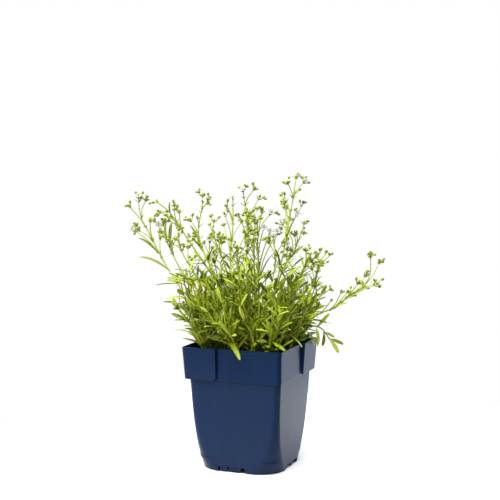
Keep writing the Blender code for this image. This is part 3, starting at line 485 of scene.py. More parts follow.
class Stem(NamedTuple):
    """A stem's plan. Its route and tips are sketch points: right of the pot's middle, above the
    floor, and behind the sketch plane in mm."""

    root: tuple  # right and away on the soil, in mm
    route: tuple
    leafy: float  # the share of its length that has pairs of leaves
    heads: tuple  # for each: the share where it leaves the stem, its tip, its buds, its blooms
    leaves: tuple  # those that stand out: the share, the tip, the width in mm


FLOWER_STEMS = {
    "stem_far_left": Stem(
        root=(-50, -20),
        route=((-61, 156, -8), (-74, 183, 2), (-85, 200, 8), (-97, 223, 9), (-108, 245, 10)),
        leafy=0.5,
        heads=(
            (1.0, (-111, 266, 8), 3, 1),
            (1.0, (-104, 263, 17), 2, 0),
            (0.93, (-120, 257, 8), 2, 0),
            (0.74, (-116, 234, 2), 1, 1),
        ),
        leaves=(
            (0.60, (-111, 207, 4), 3.4),
            (0.73, (-112, 226, 16), 3.0),
            (0.38, (-86, 164, -6), 3.2),
            (0.25, (-75, 161, -30), 3.0),
            (0.10, (-78, 134, -24), 2.2),
        ),
    ),
    "stem_arching_left": Stem(
        root=(-24, -8),
        route=((-29, 175, -12), (-46, 200, -18), (-62, 224, -22), (-82, 253, -26), (-92, 261, -28)),
        leafy=0.55,
        heads=((1.0, (-95, 261, -28), 2, 0), (0.92, (-89, 252, -22), 2, 0)),
        leaves=((0.9, (-80, 262, -30), 1.8),),
    ),
    "stem_left_upright": Stem(
        root=(-20, 22),
        route=((-29, 165, 28), (-36, 190, 34), (-46, 210, 40), (-52, 231, 44), (-48, 260, 48)),
        leafy=0.6,
        heads=(
            (1.0, (-48, 267, 50), 2, 0),
            (0.97, (-43, 260, 44), 2, 0),
            (0.84, (-53, 245, 42), 1, 0),
        ),
        leaves=((0.72, (-61, 239, 40), 2.4), (0.64, (-57, 224, 46), 2.2)),
    ),
    "stem_left_short": Stem(
        root=(-12, -24),
        route=((-19, 175, -34), (-27, 201, -40), (-35, 222, -44), (-38, 236, -46)),
        leafy=0.6,
        heads=((1.0, (-37, 242, -46), 3, 0), (0.9, (-41, 238, -42), 1, 0)),
        leaves=(),
    ),
    "stem_over_rim": Stem(
        root=(-20, -34),
        route=((-24, 128, -36), (-33, 147, -38), (-50, 171, -36), (-65, 187, -32), (-84, 225, -26),
               (-86, 238, -24)),
        leafy=0.6,
        heads=(
            (1.0, (-90, 239, -27), 1, 1),
            (0.93, (-84, 243, -17), 2, 0),
            (0.8, (-75, 224, -36), 1, 0),
        ),
        leaves=(
            (0.84, (-78, 242, -30), 3.0),
            (0.55, (-84, 186, -34), 2.8),
            (0.1, (-11, 105, -60), 5.0),
        ),
    ),
    "stem_back_bloom": Stem(
        root=(-14, 34),
        route=((-20, 180, 50), (-20, 215, 58), (-18, 240, 60), (-18, 257, 62)),
        leafy=0.6,
        heads=(
            (1.0, (-18, 264, 62), 1, 1),
            (0.74, (-26, 249, 60), 2, 0),
            (0.6, (-27, 238, 68), 1, 0),
        ),
        leaves=(),
    ),
    "stem_middle": Stem(
        root=(-4, -6),
        route=((-8, 160, -8), (-7, 192, -8), (-4, 217, -9), (-4, 241, -10), (-7, 265, -10)),
        leafy=0.55,
        heads=(
            (1.0, (-8, 272, -10), 2, 1),
            (0.95, (3, 274, -14), 2, 0),
            (0.74, (6, 254, -6), 1, 0),
            (0.8, (8, 266, -2), 2, 0),
            (0.7, (-12, 248, -16), 2, 0),
        ),
        leaves=((0.62, (9, 228, -4), 1.8),),
    ),
    "stem_front_short": Stem(
        root=(2, -30),
        route=((4, 165, -44), (3, 200, -54), (3, 222, -58), (3, 233, -60)),
        leafy=0.6,
        heads=((1.0, (4, 240, -60), 3, 0), (0.8, (-4, 230, -62), 1, 0)),
        leaves=(),
    ),
    "stem_white_heads": Stem(
        root=(8, -16),
        route=((8, 160, -24), (7, 185, -28), (7, 203, -30), (6, 222, -32), (6, 240, -33)),
        leafy=0.5,
        heads=(
            (1.0, (4, 247, -33), 1, 1),
            (0.6, (18, 231, -28), 0, 1),
            (0.56, (25, 231, -38), 0, 1),
            (0.72, (12, 235, -42), 0, 1),
            (0.84, (11, 252, -28), 2, 0),
            (0.9, (19, 250, -38), 1, 1),
        ),
        leaves=((0.56, (22, 210, -36), 2.2), (0.56, (-9, 212, -24), 2.2)),
    ),
    "stem_tall": Stem(
        root=(16, 6),
        route=((19, 150, 10), (26, 185, 12), (32, 212, 14), (37, 241, 15), (41, 265, 16)),
        leafy=0.55,
        heads=(
            (1.0, (36, 280, 12), 3, 0),
            (1.0, (44, 285, 18), 2, 0),
            (1.0, (52, 281, 22), 2, 1),
            (0.68, (33, 268, 26), 2, 0),
            (0.7, (51, 260, 10), 2, 0),
            (0.74, (45, 249, 4), 1, 1),
        ),
        leaves=(),
    ),
    "stem_right_back": Stem(
        root=(22, 26),
        route=((22, 165, 40), (34, 200, 48), (42, 212, 50), (46, 222, 52), (49, 230, 53)),
        leafy=0.62,
        heads=(
            (1.0, (52, 240, 54), 2, 0),
            (0.9, (45, 231, 46), 1, 0),
            (0.78, (36, 219, 42), 1, 1),
            (0.82, (30, 241, 58), 2, 1),
        ),
        leaves=((0.76, (52, 218, 58), 3.0),),
    ),
    "stem_right_front": Stem(
        root=(30, -18),
        route=((38, 165, -30), (47, 185, -36), (53, 196, -38), (56, 204, -40)),
        leafy=0.7,
        heads=((1.0, (58, 209, -40), 2, 0), (0.8, (61, 200, -45), 1, 0)),
        leaves=(),
    ),
    "stem_right_upright": Stem(
        root=(40, -24),
        route=((43, 130, -26), (54, 148, -26), (65, 166, -24), (64, 183, -22), (67, 203, -20)),
        leafy=0.45,
        heads=(
            (1.0, (66, 209, -20), 2, 0),
            (0.92, (74, 211, -15), 1, 0),
            (0.88, (78, 209, -26), 1, 0),
            (0.5, (78, 175, -32), 1, 0),
        ),
        leaves=(
            (0.72, (55, 191, -16), 2.6),
            (0.73, (70, 188, -28), 2.2),
            (0.66, (74, 178, -18), 2.6),
        ),
    ),
    "stem_far_right": Stem(
        root=(44, 4),
        route=((62, 147, 8), (71, 152, 10), (84, 157, 12), (100, 171, 15), (112, 178, 17)),
        leafy=0.35,
        heads=(
            (1.0, (118, 208, 16), 3, 0),
            (0.98, (127, 202, 24), 2, 0),
            (0.7, (124, 180, 10), 3, 0),
            (0.8, (129, 184, 20), 1, 0),
            (0.56, (89, 172, 6), 1, 0),
            (0.6, (95, 172, 18), 1, 0),
            (0.42, (79, 163, 4), 1, 0),
        ),
        leaves=((0.6, (96, 161, 6), 2.8),),
    ),
    "shoot_drooping_right": Stem(
        root=(44, 16),
        route=((57, 137, 20), (68, 137, 24), (79, 124, 28)),
        leafy=0.0,
        heads=(),
        leaves=(
            (0.97, (92, 120, 32), 3.8),
            (0.95, (87, 111, 22), 3.8),
            (0.8, (83, 127, 36), 3.4),
            (0.62, (78, 151, 26), 3.6),
            (0.6, (66, 118, 16), 3.2),
            (0.8, (71, 118, 30), 3.0),
            (0.4, (62, 119, 8), 3.0),
            (0.4, (60, 150, 28), 3.0),
        ),
    ),
    "stem_left_buds": Stem(
        root=(-34, 14),
        route=((-45, 165, 24), (-56, 190, 30), (-66, 207, 34), (-73, 224, 36)),
        leafy=0.6,
        heads=(
            (1.0, (-73, 226, 38), 2, 0),
            (0.9, (-77, 220, 30), 1, 0),
            (0.78, (-69, 213, 42), 2, 0),
        ),
        leaves=(),
    ),
    "stem_front": Stem(
        root=(0, -38),
        route=((-1, 135, -43), (-9, 165, -53), (-13, 195, -61), (-14, 213, -65)),
        leafy=0.65,
        heads=(
            (1.0, (-14, 216, -66), 2, 0),
            (0.8, (-7, 205, -68), 1, 0),
            (0.85, (-20, 209, -62), 1, 0),
        ),
        leaves=(),
    ),
    "stem_back_right": Stem(
        root=(10, 38),
        route=((14, 150, 48), (20, 180, 55), (24, 205, 60), (22, 225, 63)),
        leafy=0.6,
        heads=(
            (1.0, (22, 227, 64), 2, 1),
            (0.8, (31, 221, 60), 2, 0),
            (0.84, (14, 224, 66), 1, 0),
        ),
        leaves=(),
    ),
    "stem_back_left": Stem(
        root=(-26, 34),
        route=((-30, 150, 50), (-37, 180, 60), (-42, 203, 66), (-41, 220, 68)),
        leafy=0.6,
        heads=((1.0, (-41, 223, 68), 2, 1), (0.8, (-34, 214, 72), 1, 0)),
        leaves=(),
    ),
}

draw = np.random.default_rng(SEED)


class Growth:
    """What one piece of the plant holds: its stalks, buds, calyxes and leaves."""

    def __init__(self):
        self.stalks = []  # points along the middle, radii, sides, shares of the leaf nodes
        self.buds = []  # foot, direction, size
        self.calyxes = []
        self.leaves = []  # base, rise, bend, facing, width, as leaf_skins() takes them
        self.joints = []  # places and directions where twigs part, for small bracts


def unit(vector):
    return vector / np.linalg.norm(vector)


def sketched(right, up, away):
    """The point at (right, up) on the sketch, moved `away` mm along the line of sight."""
    flat = RIGHT * right * SQUARE + UP * up * SQUARE
    return flat + (flat - EYE) * away / VIEW_DISTANCE


def on_soil(root, height):
    """The point above the soil's plan position `root`, given as (right, away)."""
    return RIGHT * root[0] + AWAY * root[1] + UP * height


def smooth_route(points, count):
    """`count` points spaced evenly along cubic arcs through the given ones."""
    points = np.asarray(points, float)
    steps = np.linalg.norm(np.diff(points, axis=0), axis=1) ** 0.5
    knots = np.concatenate(((0,), np.cumsum(steps)))
    slopes = np.gradient(points, knots, axis=0)
    fine = np.linspace(0, knots[-1], 30 * len(points))
    span = np.clip(np.searchsorted(knots, fine, side="right") - 1, 0, len(points) - 2)
    width = (knots[span + 1] - knots[span])[:, None]
    t = (fine - knots[span])[:, None] / width
    curve = (2 * t**3 - 3 * t**2 + 1) * points[span] + (3 * t**2 - 2 * t**3) * points[span + 1]
    curve += (t**3 - 2 * t**2 + t) * width * slopes[span]
    curve += (t**3 - t**2) * width * slopes[span + 1]
    return spaced(curve, count)


def curve_point(route, share):
    """The point and the direction at this share of the route's length."""
    place = share * (len(route) - 1)
    i = min(int(place), len(route) - 2)
    return route[i] + (route[i + 1] - route[i]) * (place - i), unit(route[i + 1] - route[i])


def balls_along(line, radii):
    """Balls (x, y, z, radius) a millimetre apart along a line of points."""
    balls = []
    for a, b, r, q in zip(line, line[1:], radii, radii[1:]):
        count = max(2, math.ceil(np.linalg.norm(b - a)))
        t = np.linspace(0, 1, count)[:, None]
        balls.append(np.hstack((a + (b - a) * t, r + (q - r) * t)))
    return np.vstack(balls)


DEEPEST = 81.6


class Room:
    """The room that the plant has taken so far, as balls that each belong to one node. It ends
    DEEPEST mm from the middle towards -Y and +Y."""

    def __init__(self):
        self.balls = np.empty((0, 4))
        self.owners = np.empty(0, dtype=object)

    def take(self, owner, balls):
        self.balls = np.vstack((self.balls, balls))
        self.owners = np.append(self.owners, [owner] * len(balls))

    def is_free(self, owner, balls, rooted=False, clearance=CLEARANCE):
        """Whether the balls are clear of every other node, of the soil and of the pot."""
        if np.abs(balls[:, 1]).max() > DEEPEST or not (rooted or self.clears_pot(balls)):
            return False
        low, high = balls[:, :3].min(axis=0) - 6, balls[:, :3].max(axis=0) + 6
        near = ((self.balls[:, :3] > low) & (self.balls[:, :3] < high)).all(axis=1).nonzero()[0]
        others = self.balls[near[self.owners[near] != owner]]
        if not len(others):
            return True
        apart = np.linalg.norm(others[:, None, :3] - balls[None, :, :3], axis=2)
        return bool((apart - others[:, None, 3] - balls[None, :, 3] > clearance).all())

    @staticmethod
    def clears_pot(balls):
        out = np.abs(balls[:, :2]).max(axis=1)
        thick = np.minimum(balls[:, 3], 1.0)
        low = balls[:, 2] - thick
        above_rim = low > POT_HEIGHT + CLEARANCE
        inside = (out + thick < SOIL_TOP_HALF + 3) & (low > SOIL_TOP + CLEARANCE)
        outside = (out - thick > PROUD_HALF_TOP + CLEARANCE) & (low > CLEARANCE)
        return bool((above_rim | inside | outside).all())


def grow_stem(room, owner, root, tips):
    """Routes a stem from its hole through its points, bowed the least that keeps it clear."""
    foot = root - UP * ROOT_DEPTH
    for bow in BOWS:
        share = np.linspace(0, 1, len(tips) + 1)[1:-1, None]
        bowed = np.array(tips, float)
        bowed[:-1] += AWAY * bow * np.sin(share * math.pi)
        through = np.vstack((foot, root, root + UP * 2, bowed))
        length = np.linalg.norm(np.diff(through, axis=0), axis=1).sum()
        count = max(4, round(length / STATION_STEP) + 1)
        route = np.vstack((foot, smooth_route(through[1:], count)))
        radii = np.linspace(STEM_ROOT_RADIUS, STEM_TIP_RADIUS, len(route))
        balls = balls_along(route, radii)
        above = balls[balls[:, 2] > SOIL_TOP + 1.5]
        if room.is_free(owner, balls, rooted=True) and room.clears_pot(above):
            room.take(owner, balls)
            fine = np.vstack((foot, smooth_route(through[1:], max(12, round(length / 1.8)))))
            return route[1:], (fine, np.linspace(*radii[[0, -1]], len(fine)))
    return None


def side_vectors(ahead):
    across = unit(np.cross(ahead, RIGHT * 0.3 + AWAY))
    return across, np.cross(ahead, across)


def side_way(ahead, angle):
    """The direction square to `ahead` at this angle round it."""
    across, beside = side_vectors(ahead)
    return across * math.cos(angle) + beside * math.sin(angle)


def bloom_balls(seat, out):
    """The room of a bloom: balls round its petals and one at its middle."""
    across, beside = side_vectors(out)
    around = np.linspace(0, 2 * math.pi, 10, endpoint=False)[:, None]
    petals = seat + out * 0.35 + 0.68 * PETAL_LENGTH * (
        np.cos(around) * across + np.sin(around) * beside)
    middle = np.append(seat, PETAL_THICKNESS / 2)
    return np.vstack((np.column_stack((petals, np.full(10, 1.25))), middle))


def grow_tip(room, owner, growth, line, radii, bloom):
    """Ends a twig in a bud, or in a calyx with a bloom seated on it. None if it isn't clear."""
    out = unit(unit(line[-1] - line[-2]) + UP * 0.15)
    end = line[-1]
    twig = line, radii
    if bloom is None:
        line = np.vstack((line, end + out * BUD_LENGTH * 0.45, end + out * BUD_LENGTH))
        radii = (*radii, BUD_RADIUS, 0)
    else:
        out = unit(out - AWAY * BLOOM_LEAN)
        line = np.vstack((line, end + out * CALYX_LENGTH))
        radii = (*radii, CALYX_RADIUS)
    balls = balls_along(line, radii)
    if not (room.is_free(owner, balls) and room.is_free(None, balls[-3:])):
        return None
    seat = line[-1] + out * (GAP + PETAL_THICKNESS / 2)
    if bloom is not None:
        petals = bloom_balls(seat, out)
        if not (room.is_free(bloom, petals) and room.is_free(None, petals)):
            return None
        room.take(bloom, petals)
        growth.calyxes.append((end, out))
    else:
        growth.buds.append((end, out, 1.0))
    room.take(owner, balls)
    growth.stalks.append((*twig, 6, ()))
    return seat, out


def grow_head(room, owner, growth, route, share, tip, kinds):
    """A twig from the stem to the tip, with a bud or bloom at its end and the rest beside it."""
    start, ahead = curve_point(route, min(share, 0.999))
    blooms, grown = {}, None
    for shift in DEPTH_SHIFTS:
        end = tip + AWAY * shift
        reach = np.linalg.norm(end - start)
        elbow = start * 0.7 + end * 0.3 + ahead * reach * 0.16
        twig = np.array((start, elbow, end) if reach > LONG_TWIG else (start, end))
        radii = [TWIG_RADIUS] * (len(twig) - 1) + [PEDICEL_RADIUS]
        grown = grow_tip(room, owner, growth, twig, radii, kinds[0])
        if grown:
            blooms[kinds[0]] = grown
            break
    if not grown:
        return {}
    growth.joints.append((start, ahead))
    heading = unit(twig[-1] - twig[-2])
    spin = draw.uniform(0, 2 * math.pi)
    for i, kind in enumerate(kinds[1:]):
        base = twig[-2] + (twig[-1] - twig[-2]) * (0.85 - 0.28 * (i // 2))
        for turn in np.radians(TWIG_TURNS):
            around = side_way(heading, spin + turn + i * math.pi)
            out = unit(heading * math.cos(HEAD_SPREAD) + around * math.sin(HEAD_SPREAD))
            line = np.array((base, base + out * draw.uniform(4.5, 7)))
            grown = grow_tip(room, owner, growth, line, [PEDICEL_RADIUS] * 2, kind)
            if grown:
                blooms[kind] = grown
                growth.joints.append((base, heading))
                break
    blooms.pop(None, None)
    return blooms


def grow_leaf(room, owner, base, ahead, side, length, width, rise, clearance=CLEARANCE):
    """A leaf that leaves the stem at `side`, turned or shortened until it is clear."""
    across = np.cross(ahead, side)
    for size in (1.0, 0.75):
        for turn in np.radians(LEAF_TURNS):
            out = side * math.cos(turn) + across * math.sin(turn)
            heading = ahead * math.cos(rise) + out * math.sin(rise)
            reach = length * size
            t = np.array((0, 0.5, 1.0))[:, None]
            sag = out * 0.18 - UP * 0.12
            line = base + heading * reach * t + sag * reach * t**2
            facing = ahead * math.sin(rise) - out * math.cos(rise)
            balls = balls_along(line, (0.6, width / 2, 0.3))[1:]
            far = balls[len(balls) // 3:]
            if room.is_free(owner, balls, clearance=clearance) and room.is_free(
                    None, far, clearance=clearance):
                return (base, heading * reach, sag * reach, facing, width), balls
    return None


def grow_named_leaf(room, owner, route, share, tip, width):
    """A leaf from the stem to a given tip, arched, and moved in depth until it is clear."""
    base, ahead = curve_point(route, share)
    for shift in DEPTH_SHIFTS:
        end = tip + AWAY * shift
        reach = np.linalg.norm(end - base)
        bow = base + (end - base) * 0.45 + ahead * reach * 0.16 + UP * reach * 0.1
        t = np.array((0, 0.36, 0.7, 1.0))[:, None]
        line = (1 - t) ** 2 * base + 2 * t * (1 - t) * bow + t**2 * end
        half = width / 2
        balls = balls_along(line, (0.5, half * 0.95, half * 0.85, 0.3))[1:]
        if room.is_free(owner, balls[2:]):
            room.take(owner, balls)
            facing = UP * 0.8 - AWAY * 0.6 + ahead * 0.3
            return base, 2 * (bow - base), base - 2 * bow + end, facing, width
    return None


def grow_pairs(room, owner, growth, route, last, first, step, lengths, widths,
               rises=(30, 52), clearance=CLEARANCE):
    """Opposite leaves at even steps along the stem, each pair turned a quarter from the last."""
    length = np.linalg.norm(np.diff(route, axis=0), axis=1).sum()
    count = max(1, round((last - first) * length / step))
    turn = draw.uniform(0, math.pi)
    nodes = []
    for i in range(count):
        t = i / max(1, count - 1)
        share = first + (last - first) * t
        base, ahead = curve_point(route, share)
        side = side_way(ahead, turn + i * math.pi / 2 + draw.uniform(-0.3, 0.3))
        width = widths[0] + (widths[1] - widths[0]) * t
        for way in (side, -side):
            reach = (lengths[0] + (lengths[1] - lengths[0]) * t) * draw.uniform(0.8, 1.1)
            rise = math.radians(draw.uniform(*rises))
            grown = grow_leaf(room, owner, base, ahead, way, reach, width, rise, clearance)
            if grown:
                growth.leaves.append(grown[0])
                room.take(owner, grown[1])
        nodes.append((share, side))
    return nodes


def grow_shoot(room, name, order):
    """A leaning shoot at the next place of a spiral over the soil: its root and its stem.

    The shoots get lower towards the soil's edge."""
    inner, outer = SHOOT_PLACES
    out = inner + (outer - inner) * math.sqrt((order + 0.5) / SHOOTS)
    height = draw.uniform(*SHOOT_HEIGHTS) * (1 - EDGE_SHORTENING * out / outer)
    lean = height * draw.uniform(*SHOOT_LEANS)
    for extra in np.radians(np.arange(0, 360, 14)):
        angle = order * math.radians(137.5) + extra
        way = np.array((math.cos(angle), math.sin(angle), 0))
        foot = way * out * min(1.2, 1 / np.abs(way).max()) + UP * SOIL_TOP
        tips = [foot + UP * height * 0.5 + way * lean * 0.35, foot + UP * height + way * lean]
        grown = grow_stem(room, name, foot, tips)
        if grown:
            return grown
    return None


def grow_branch(room, name, growth, route):
    """A branch that forks low from a shoot's stem and leans outward."""
    start, ahead = curve_point(route, BRANCH_SHARE)
    height = draw.uniform(*BRANCH_HEIGHTS)
    lean = height * draw.uniform(*BRANCH_LEANS)
    turn = math.atan2(start[1], start[0]) + draw.uniform(-BRANCH_FAN, BRANCH_FAN)
    for extra in np.radians(BRANCH_TURNS):
        way = np.array((math.cos(turn + extra), math.sin(turn + extra), 0))
        bend = start + UP * height * 0.45 + way * lean * 0.7
        tip = start + UP * height + way * lean
        line = smooth_route((start, bend, tip), 4)
        radii = np.linspace(BRANCH_RADIUS, STEM_TIP_RADIUS, len(line))
        balls = balls_along(line, radii)
        if np.abs(tip[:2]).max() < BRANCH_REACH and room.is_free(name, balls):
            room.take(name, balls)
            fine = smooth_route((start, bend, tip), 24)
            growth.stalks.append((fine, np.linspace(BRANCH_RADIUS, STEM_TIP_RADIUS, 24), 8, ()))
            growth.joints.append((start, ahead))
            return line
    return None


room = Room()
plan, routes, branches, trunks, leaf_nodes, blooms = {}, {}, {}, {}, {}, {}
for name, stem in FLOWER_STEMS.items():
    plan[name] = Growth()
    grown = grow_stem(room, name, on_soil(stem.root, SOIL_TOP), [sketched(*p) for p in stem.route])
    routes[name], trunks[name] = grown
for name, stem in FLOWER_STEMS.items():
    for share, tip, buds, flowers in stem.heads:
        kinds = [f"bloom_{len(blooms) + i + 1:02d}" for i in range(flowers)] + [None] * buds
        blooms.update(grow_head(room, name, plan[name], routes[name], share, sketched(*tip), kinds))
for order in range(SHOOTS):
    name = f"leafy_shoot_{order + 1:02d}"
    grown = grow_shoot(room, name, order)
    if grown:
        plan[name] = Growth()
        routes[name], trunks[name] = grown
for name in [name for name in routes if name not in FLOWER_STEMS]:
    branches[name] = grow_branch(room, name, plan[name], routes[name])
for name, stem in FLOWER_STEMS.items():
    for share, tip, width in stem.leaves:
        leaf = grow_named_leaf(room, name, routes[name], share, sketched(*tip), width)
        if leaf:
            plan[name].leaves.append((*leaf[:4], width * BLUNTER))
for name, route in routes.items():
    if name not in FLOWER_STEMS:
        leaf_nodes[name] = grow_pairs(room, name, plan[name], route, 0.98, **SHOOT_LEAVES)
        if branches[name] is not None:
            grow_pairs(room, name, plan[name], branches[name], 0.96, **BRANCH_LEAVES)
    elif FLOWER_STEMS[name].leafy:
        last = FLOWER_STEMS[name].leafy
        leaf_nodes[name] = grow_pairs(room, name, plan[name], route, last, **STEM_LEAVES)

# The rest of the plant's growth: twigs with more buds, buds beside those of the solids, small
# leaves in the leaf axils, and a thicket of leafy shoots that keep close to the solids' stems,
# with low leaves round their feet.
CROWDED = -1.4
TWIGS_A_STEM = 4
THICKET_LEAVES = {"first": 0.17, "step": 12.0, "lengths": (23, 15), "widths": (5.0, 3.6),
                  "rises": (20, 44)}
ARCHED_LEAVES = {"step": 34.0, "lengths": (22, 14), "widths": (3.0, 2.2), "rises": (30, 60)}
COMPANION_REACH = 73.0
LOW_LEAVES = 80
CORNER_LEAVES = 30


def add_twigs(room, name, growth, route, low):
    """Leaning twigs with two or three buds, where the stem no longer has leaves."""
    for share in draw.uniform(low, 0.96, TWIGS_A_STEM):
        start, ahead = curve_point(route, share)
        side = side_way(ahead, draw.uniform(0, 2 * math.pi))
        tip = start + (ahead * 0.85 + side * 0.4) * draw.uniform(12, 26)
        grow_head(room, name, growth, route, share, tip, [None] * draw.integers(2, 4))


def add_sister_buds(growth):
    """One or two short-stalked buds beside most buds, which fork from just below them."""
    for foot, ahead, size in list(growth.buds):
        angle = draw.uniform(0, 2 * math.pi)
        for i in range(draw.integers(0, 3)):
            base = foot - ahead * draw.uniform(0.6, 2.2)
            out = unit(ahead * 0.8 + side_way(ahead, angle + i * 2.4) * 0.7)
            tip = base + out * draw.uniform(1.8, 3.4)
            growth.stalks.append((np.array((base, tip)), (PEDICEL_RADIUS,) * 2, 5, ()))
            growth.buds.append((tip, out, draw.uniform(0.7, 1.0)))


def add_tufts(growth, route, nodes, count, length):
    """Small leaves in the axils of each pair, close to the stem."""
    for share, side in nodes:
        base, ahead = curve_point(route, share)
        for i in range(count):
            way = side * (-1) ** i + side_way(ahead, draw.uniform(0, 2 * math.pi)) * 0.45
            rise = ahead * draw.uniform(0.6, 1.1) + way * draw.uniform(0.35, 0.7)
            reach = length * draw.uniform(0.6, 1.2)
            growth.leaves.append((base, rise * reach, way * 0.15 * reach, ahead * 0.5 - way,
                                  draw.uniform(1.9, 3.0)))


def grow_companion(room, owner, growth, route, foot_off, tip_off, heights):
    """A leafy shoot that keeps beside a stem's route: its distance grows evenly from one in the
    first pair of numbers at the foot to one in the second at the tip."""
    course = smooth_route(route, 18)
    t = np.linspace(0, 1, len(course))[:, None]
    for _ in range(10):
        turn = draw.uniform(0, 2 * math.pi)
        swing = turn + draw.uniform(-0.8, 0.8)
        foot_way = np.array((math.cos(turn), math.sin(turn), 0)) * draw.uniform(*foot_off)
        tip_way = np.array((math.cos(swing), math.sin(swing), 0)) * draw.uniform(*tip_off)
        line = course + foot_way * (1 - t) + tip_way * t
        line[:, 2] = line[0, 2] + (line[:, 2] - line[0, 2]) * draw.uniform(*heights)
        radii = np.linspace(0.9, 0.5, len(line))
        balls = balls_along(line, radii)[3:]
        above = balls[balls[:, 2] > SOIL_TOP + 1.5]
        inside = np.abs(line[:, :2]).max() < COMPANION_REACH
        if inside and room.is_free(owner, balls, True, 0.0) and room.clears_pot(above):
            room.take(owner, balls)
            nodes = grow_pairs(room, owner, growth, line, 0.98, **THICKET_LEAVES,
                               clearance=CROWDED)
            growth.stalks.append((line, radii, 6, [share for share, _ in nodes]))
            add_tufts(growth, line, nodes, 2, 10)
            return


def grow_low_leaves(room, name, growth, count, middle=(0, 0), half=42):
    """Single broad leaves that arch outward from the soil within `half` mm of `middle`, some of
    them over the rim. The soil's front edge stays nearly bare."""
    for _ in range(count):
        for _ in range(8):
            place = np.array(middle) + draw.uniform(-half, half, 2)
            if place[1] < -24 and -38 < place[0] < 30 and draw.uniform() < 0.75:
                continue
            way = unit(np.append(place / 45 + draw.normal(0, 0.45, 2), 0))
            reach = draw.uniform(16, 32)
            base = np.append(place, SOIL_TOP - 0.5)
            rise = (way * 0.55 + UP * draw.uniform(0.8, 1.15)) * reach
            bend = (way * 0.3 - UP * draw.uniform(0.35, 0.8)) * reach
            width = draw.uniform(3.8, 6.0)
            t = np.array((0.15, 0.5, 0.8, 1.0))[:, None]
            balls = balls_along(base + rise * t + bend * t**2, (0.5, width / 3, width / 3, 0.3))
            if room.is_free(name, balls, clearance=CROWDED):
                room.take(name, balls)
                growth.leaves.append((base, rise, bend, UP - way * 0.4, width))
                break


thickets = {f"thicket_{side + 1}": Growth() for side in range(4)}
for name, stem in FLOWER_STEMS.items():
    if stem.heads:
        add_twigs(room, name, plan[name], routes[name], max(stem.leafy, 0.66))
        add_sister_buds(plan[name])
        grow_pairs(room, name, plan[name], routes[name], 0.82, first=max(stem.leafy, 0.3),
                   **ARCHED_LEAVES)
for name, nodes in leaf_nodes.items():
    add_tufts(plan[name], routes[name], nodes, 2, 8 if name in FLOWER_STEMS else 12)
for order, (name, route) in enumerate(routes.items()):
    growth = thickets[f"thicket_{order % 4 + 1}"]
    if name in FLOWER_STEMS:
        leafy = FLOWER_STEMS[name].leafy
        if leafy:
            part = smooth_route(route, 40)[: max(8, round(40 * min(leafy + 0.08, 1)))]
            grow_companion(room, name, growth, part, (4, 8), (5, 12), (0.6, 0.95))
        continue
    for _ in range(2):
        grow_companion(room, name, growth, route, (4, 9), (6, 14), (0.6, 1.0))
    if branches[name] is not None:
        for _ in range(2):
            grow_companion(room, name, growth, branches[name], (0, 0.1), (8, 16), (0.62, 1.0))
for _ in range(4):
    route = routes["shoot_drooping_right"]
    grow_companion(room, "shoot_drooping_right", thickets["thicket_4"], route, (0, 3), (4, 12),
                   (0.9, 1.3))
grow_low_leaves(room, "thicket_3", thickets["thicket_3"], CORNER_LEAVES, (37, 26), 14)
for name, growth in thickets.items():
    grow_low_leaves(room, name, growth, LOW_LEAVES // 4)

# Stems and leafy shoots: thin, jointed, yellow-green stalks with a slightly swollen node at
# each pair of leaves. The leaves are narrow, a little fleshy and channelled along the midrib,
# and the closed buds sit in ribbed five-toothed calyxes.
NODE_SWELL = 0.38
FULLER = 1.2
NODE_LENGTH = 1.1
LEAF_THICKNESS = 0.45
WITHERED_HEIGHT, WITHERED_SHARE = 22, 0.04
shade = np.random.default_rng(5)
LEAF_SHARES = np.array((0.02, 0.12, 0.26, 0.42, 0.58, 0.75, 0.89, 0.97))
LEAF_WIDTHS = np.array((0.4, 0.52, 0.78, 0.96, 1.03, 0.95, 0.68, 0.36))


def units(vectors):
    """The vectors, each at length 1."""
    return vectors / np.linalg.norm(vectors, axis=-1, keepdims=True)


def marks_at(along, across, tone):
    """The marks of a grid of points, from three arrays that fit together."""
    return np.stack(np.broadcast_arrays(along, across, tone), -1)


def stalk_skin(points, radii, sides, nodes=()):
    """A tube: circles square to a middle line, wider near each node by a bell curve.

    The marks are the closeness to a node, the share along, and the stalk's own tone."""
    if len(points) < 4:
        dense = smooth_route(points, 6) if len(points) > 2 else np.linspace(*points, 3)
        radii = np.linspace(radii[0], radii[-1], len(dense))
        points = dense
    ahead = units(np.gradient(points, axis=0))
    along = lengths_along(points)
    span = along[-1] - ROOT_DEPTH
    near = np.zeros(len(points))
    for share in nodes:
        near = np.maximum(near, np.exp(-((along - ROOT_DEPTH - share * span) / NODE_LENGTH) ** 2))
    start = np.eye(3)[np.abs(ahead).max(axis=0).argmin()]
    across = units(start - ahead * (ahead @ start)[:, None])
    beside = np.cross(ahead, across)
    turns = np.linspace(0, 2 * math.pi, sides, endpoint=False)[:, None]
    wide = (FULLER * np.asarray(radii) * (1 + NODE_SWELL * near))[:, None, None]
    rings = points[:, None] + wide * (
        np.cos(turns) * across[:, None] + np.sin(turns) * beside[:, None])
    marks = np.stack((near, along / along[-1], np.full(len(points), shade.uniform())), -1)
    marks = np.vstack((marks[:1], np.repeat(marks, sides, axis=0), marks[-1:]))
    return (*skin([rings], points[0], points[-1] + ahead[-1] * radii[-1] * 0.4), 0, marks)


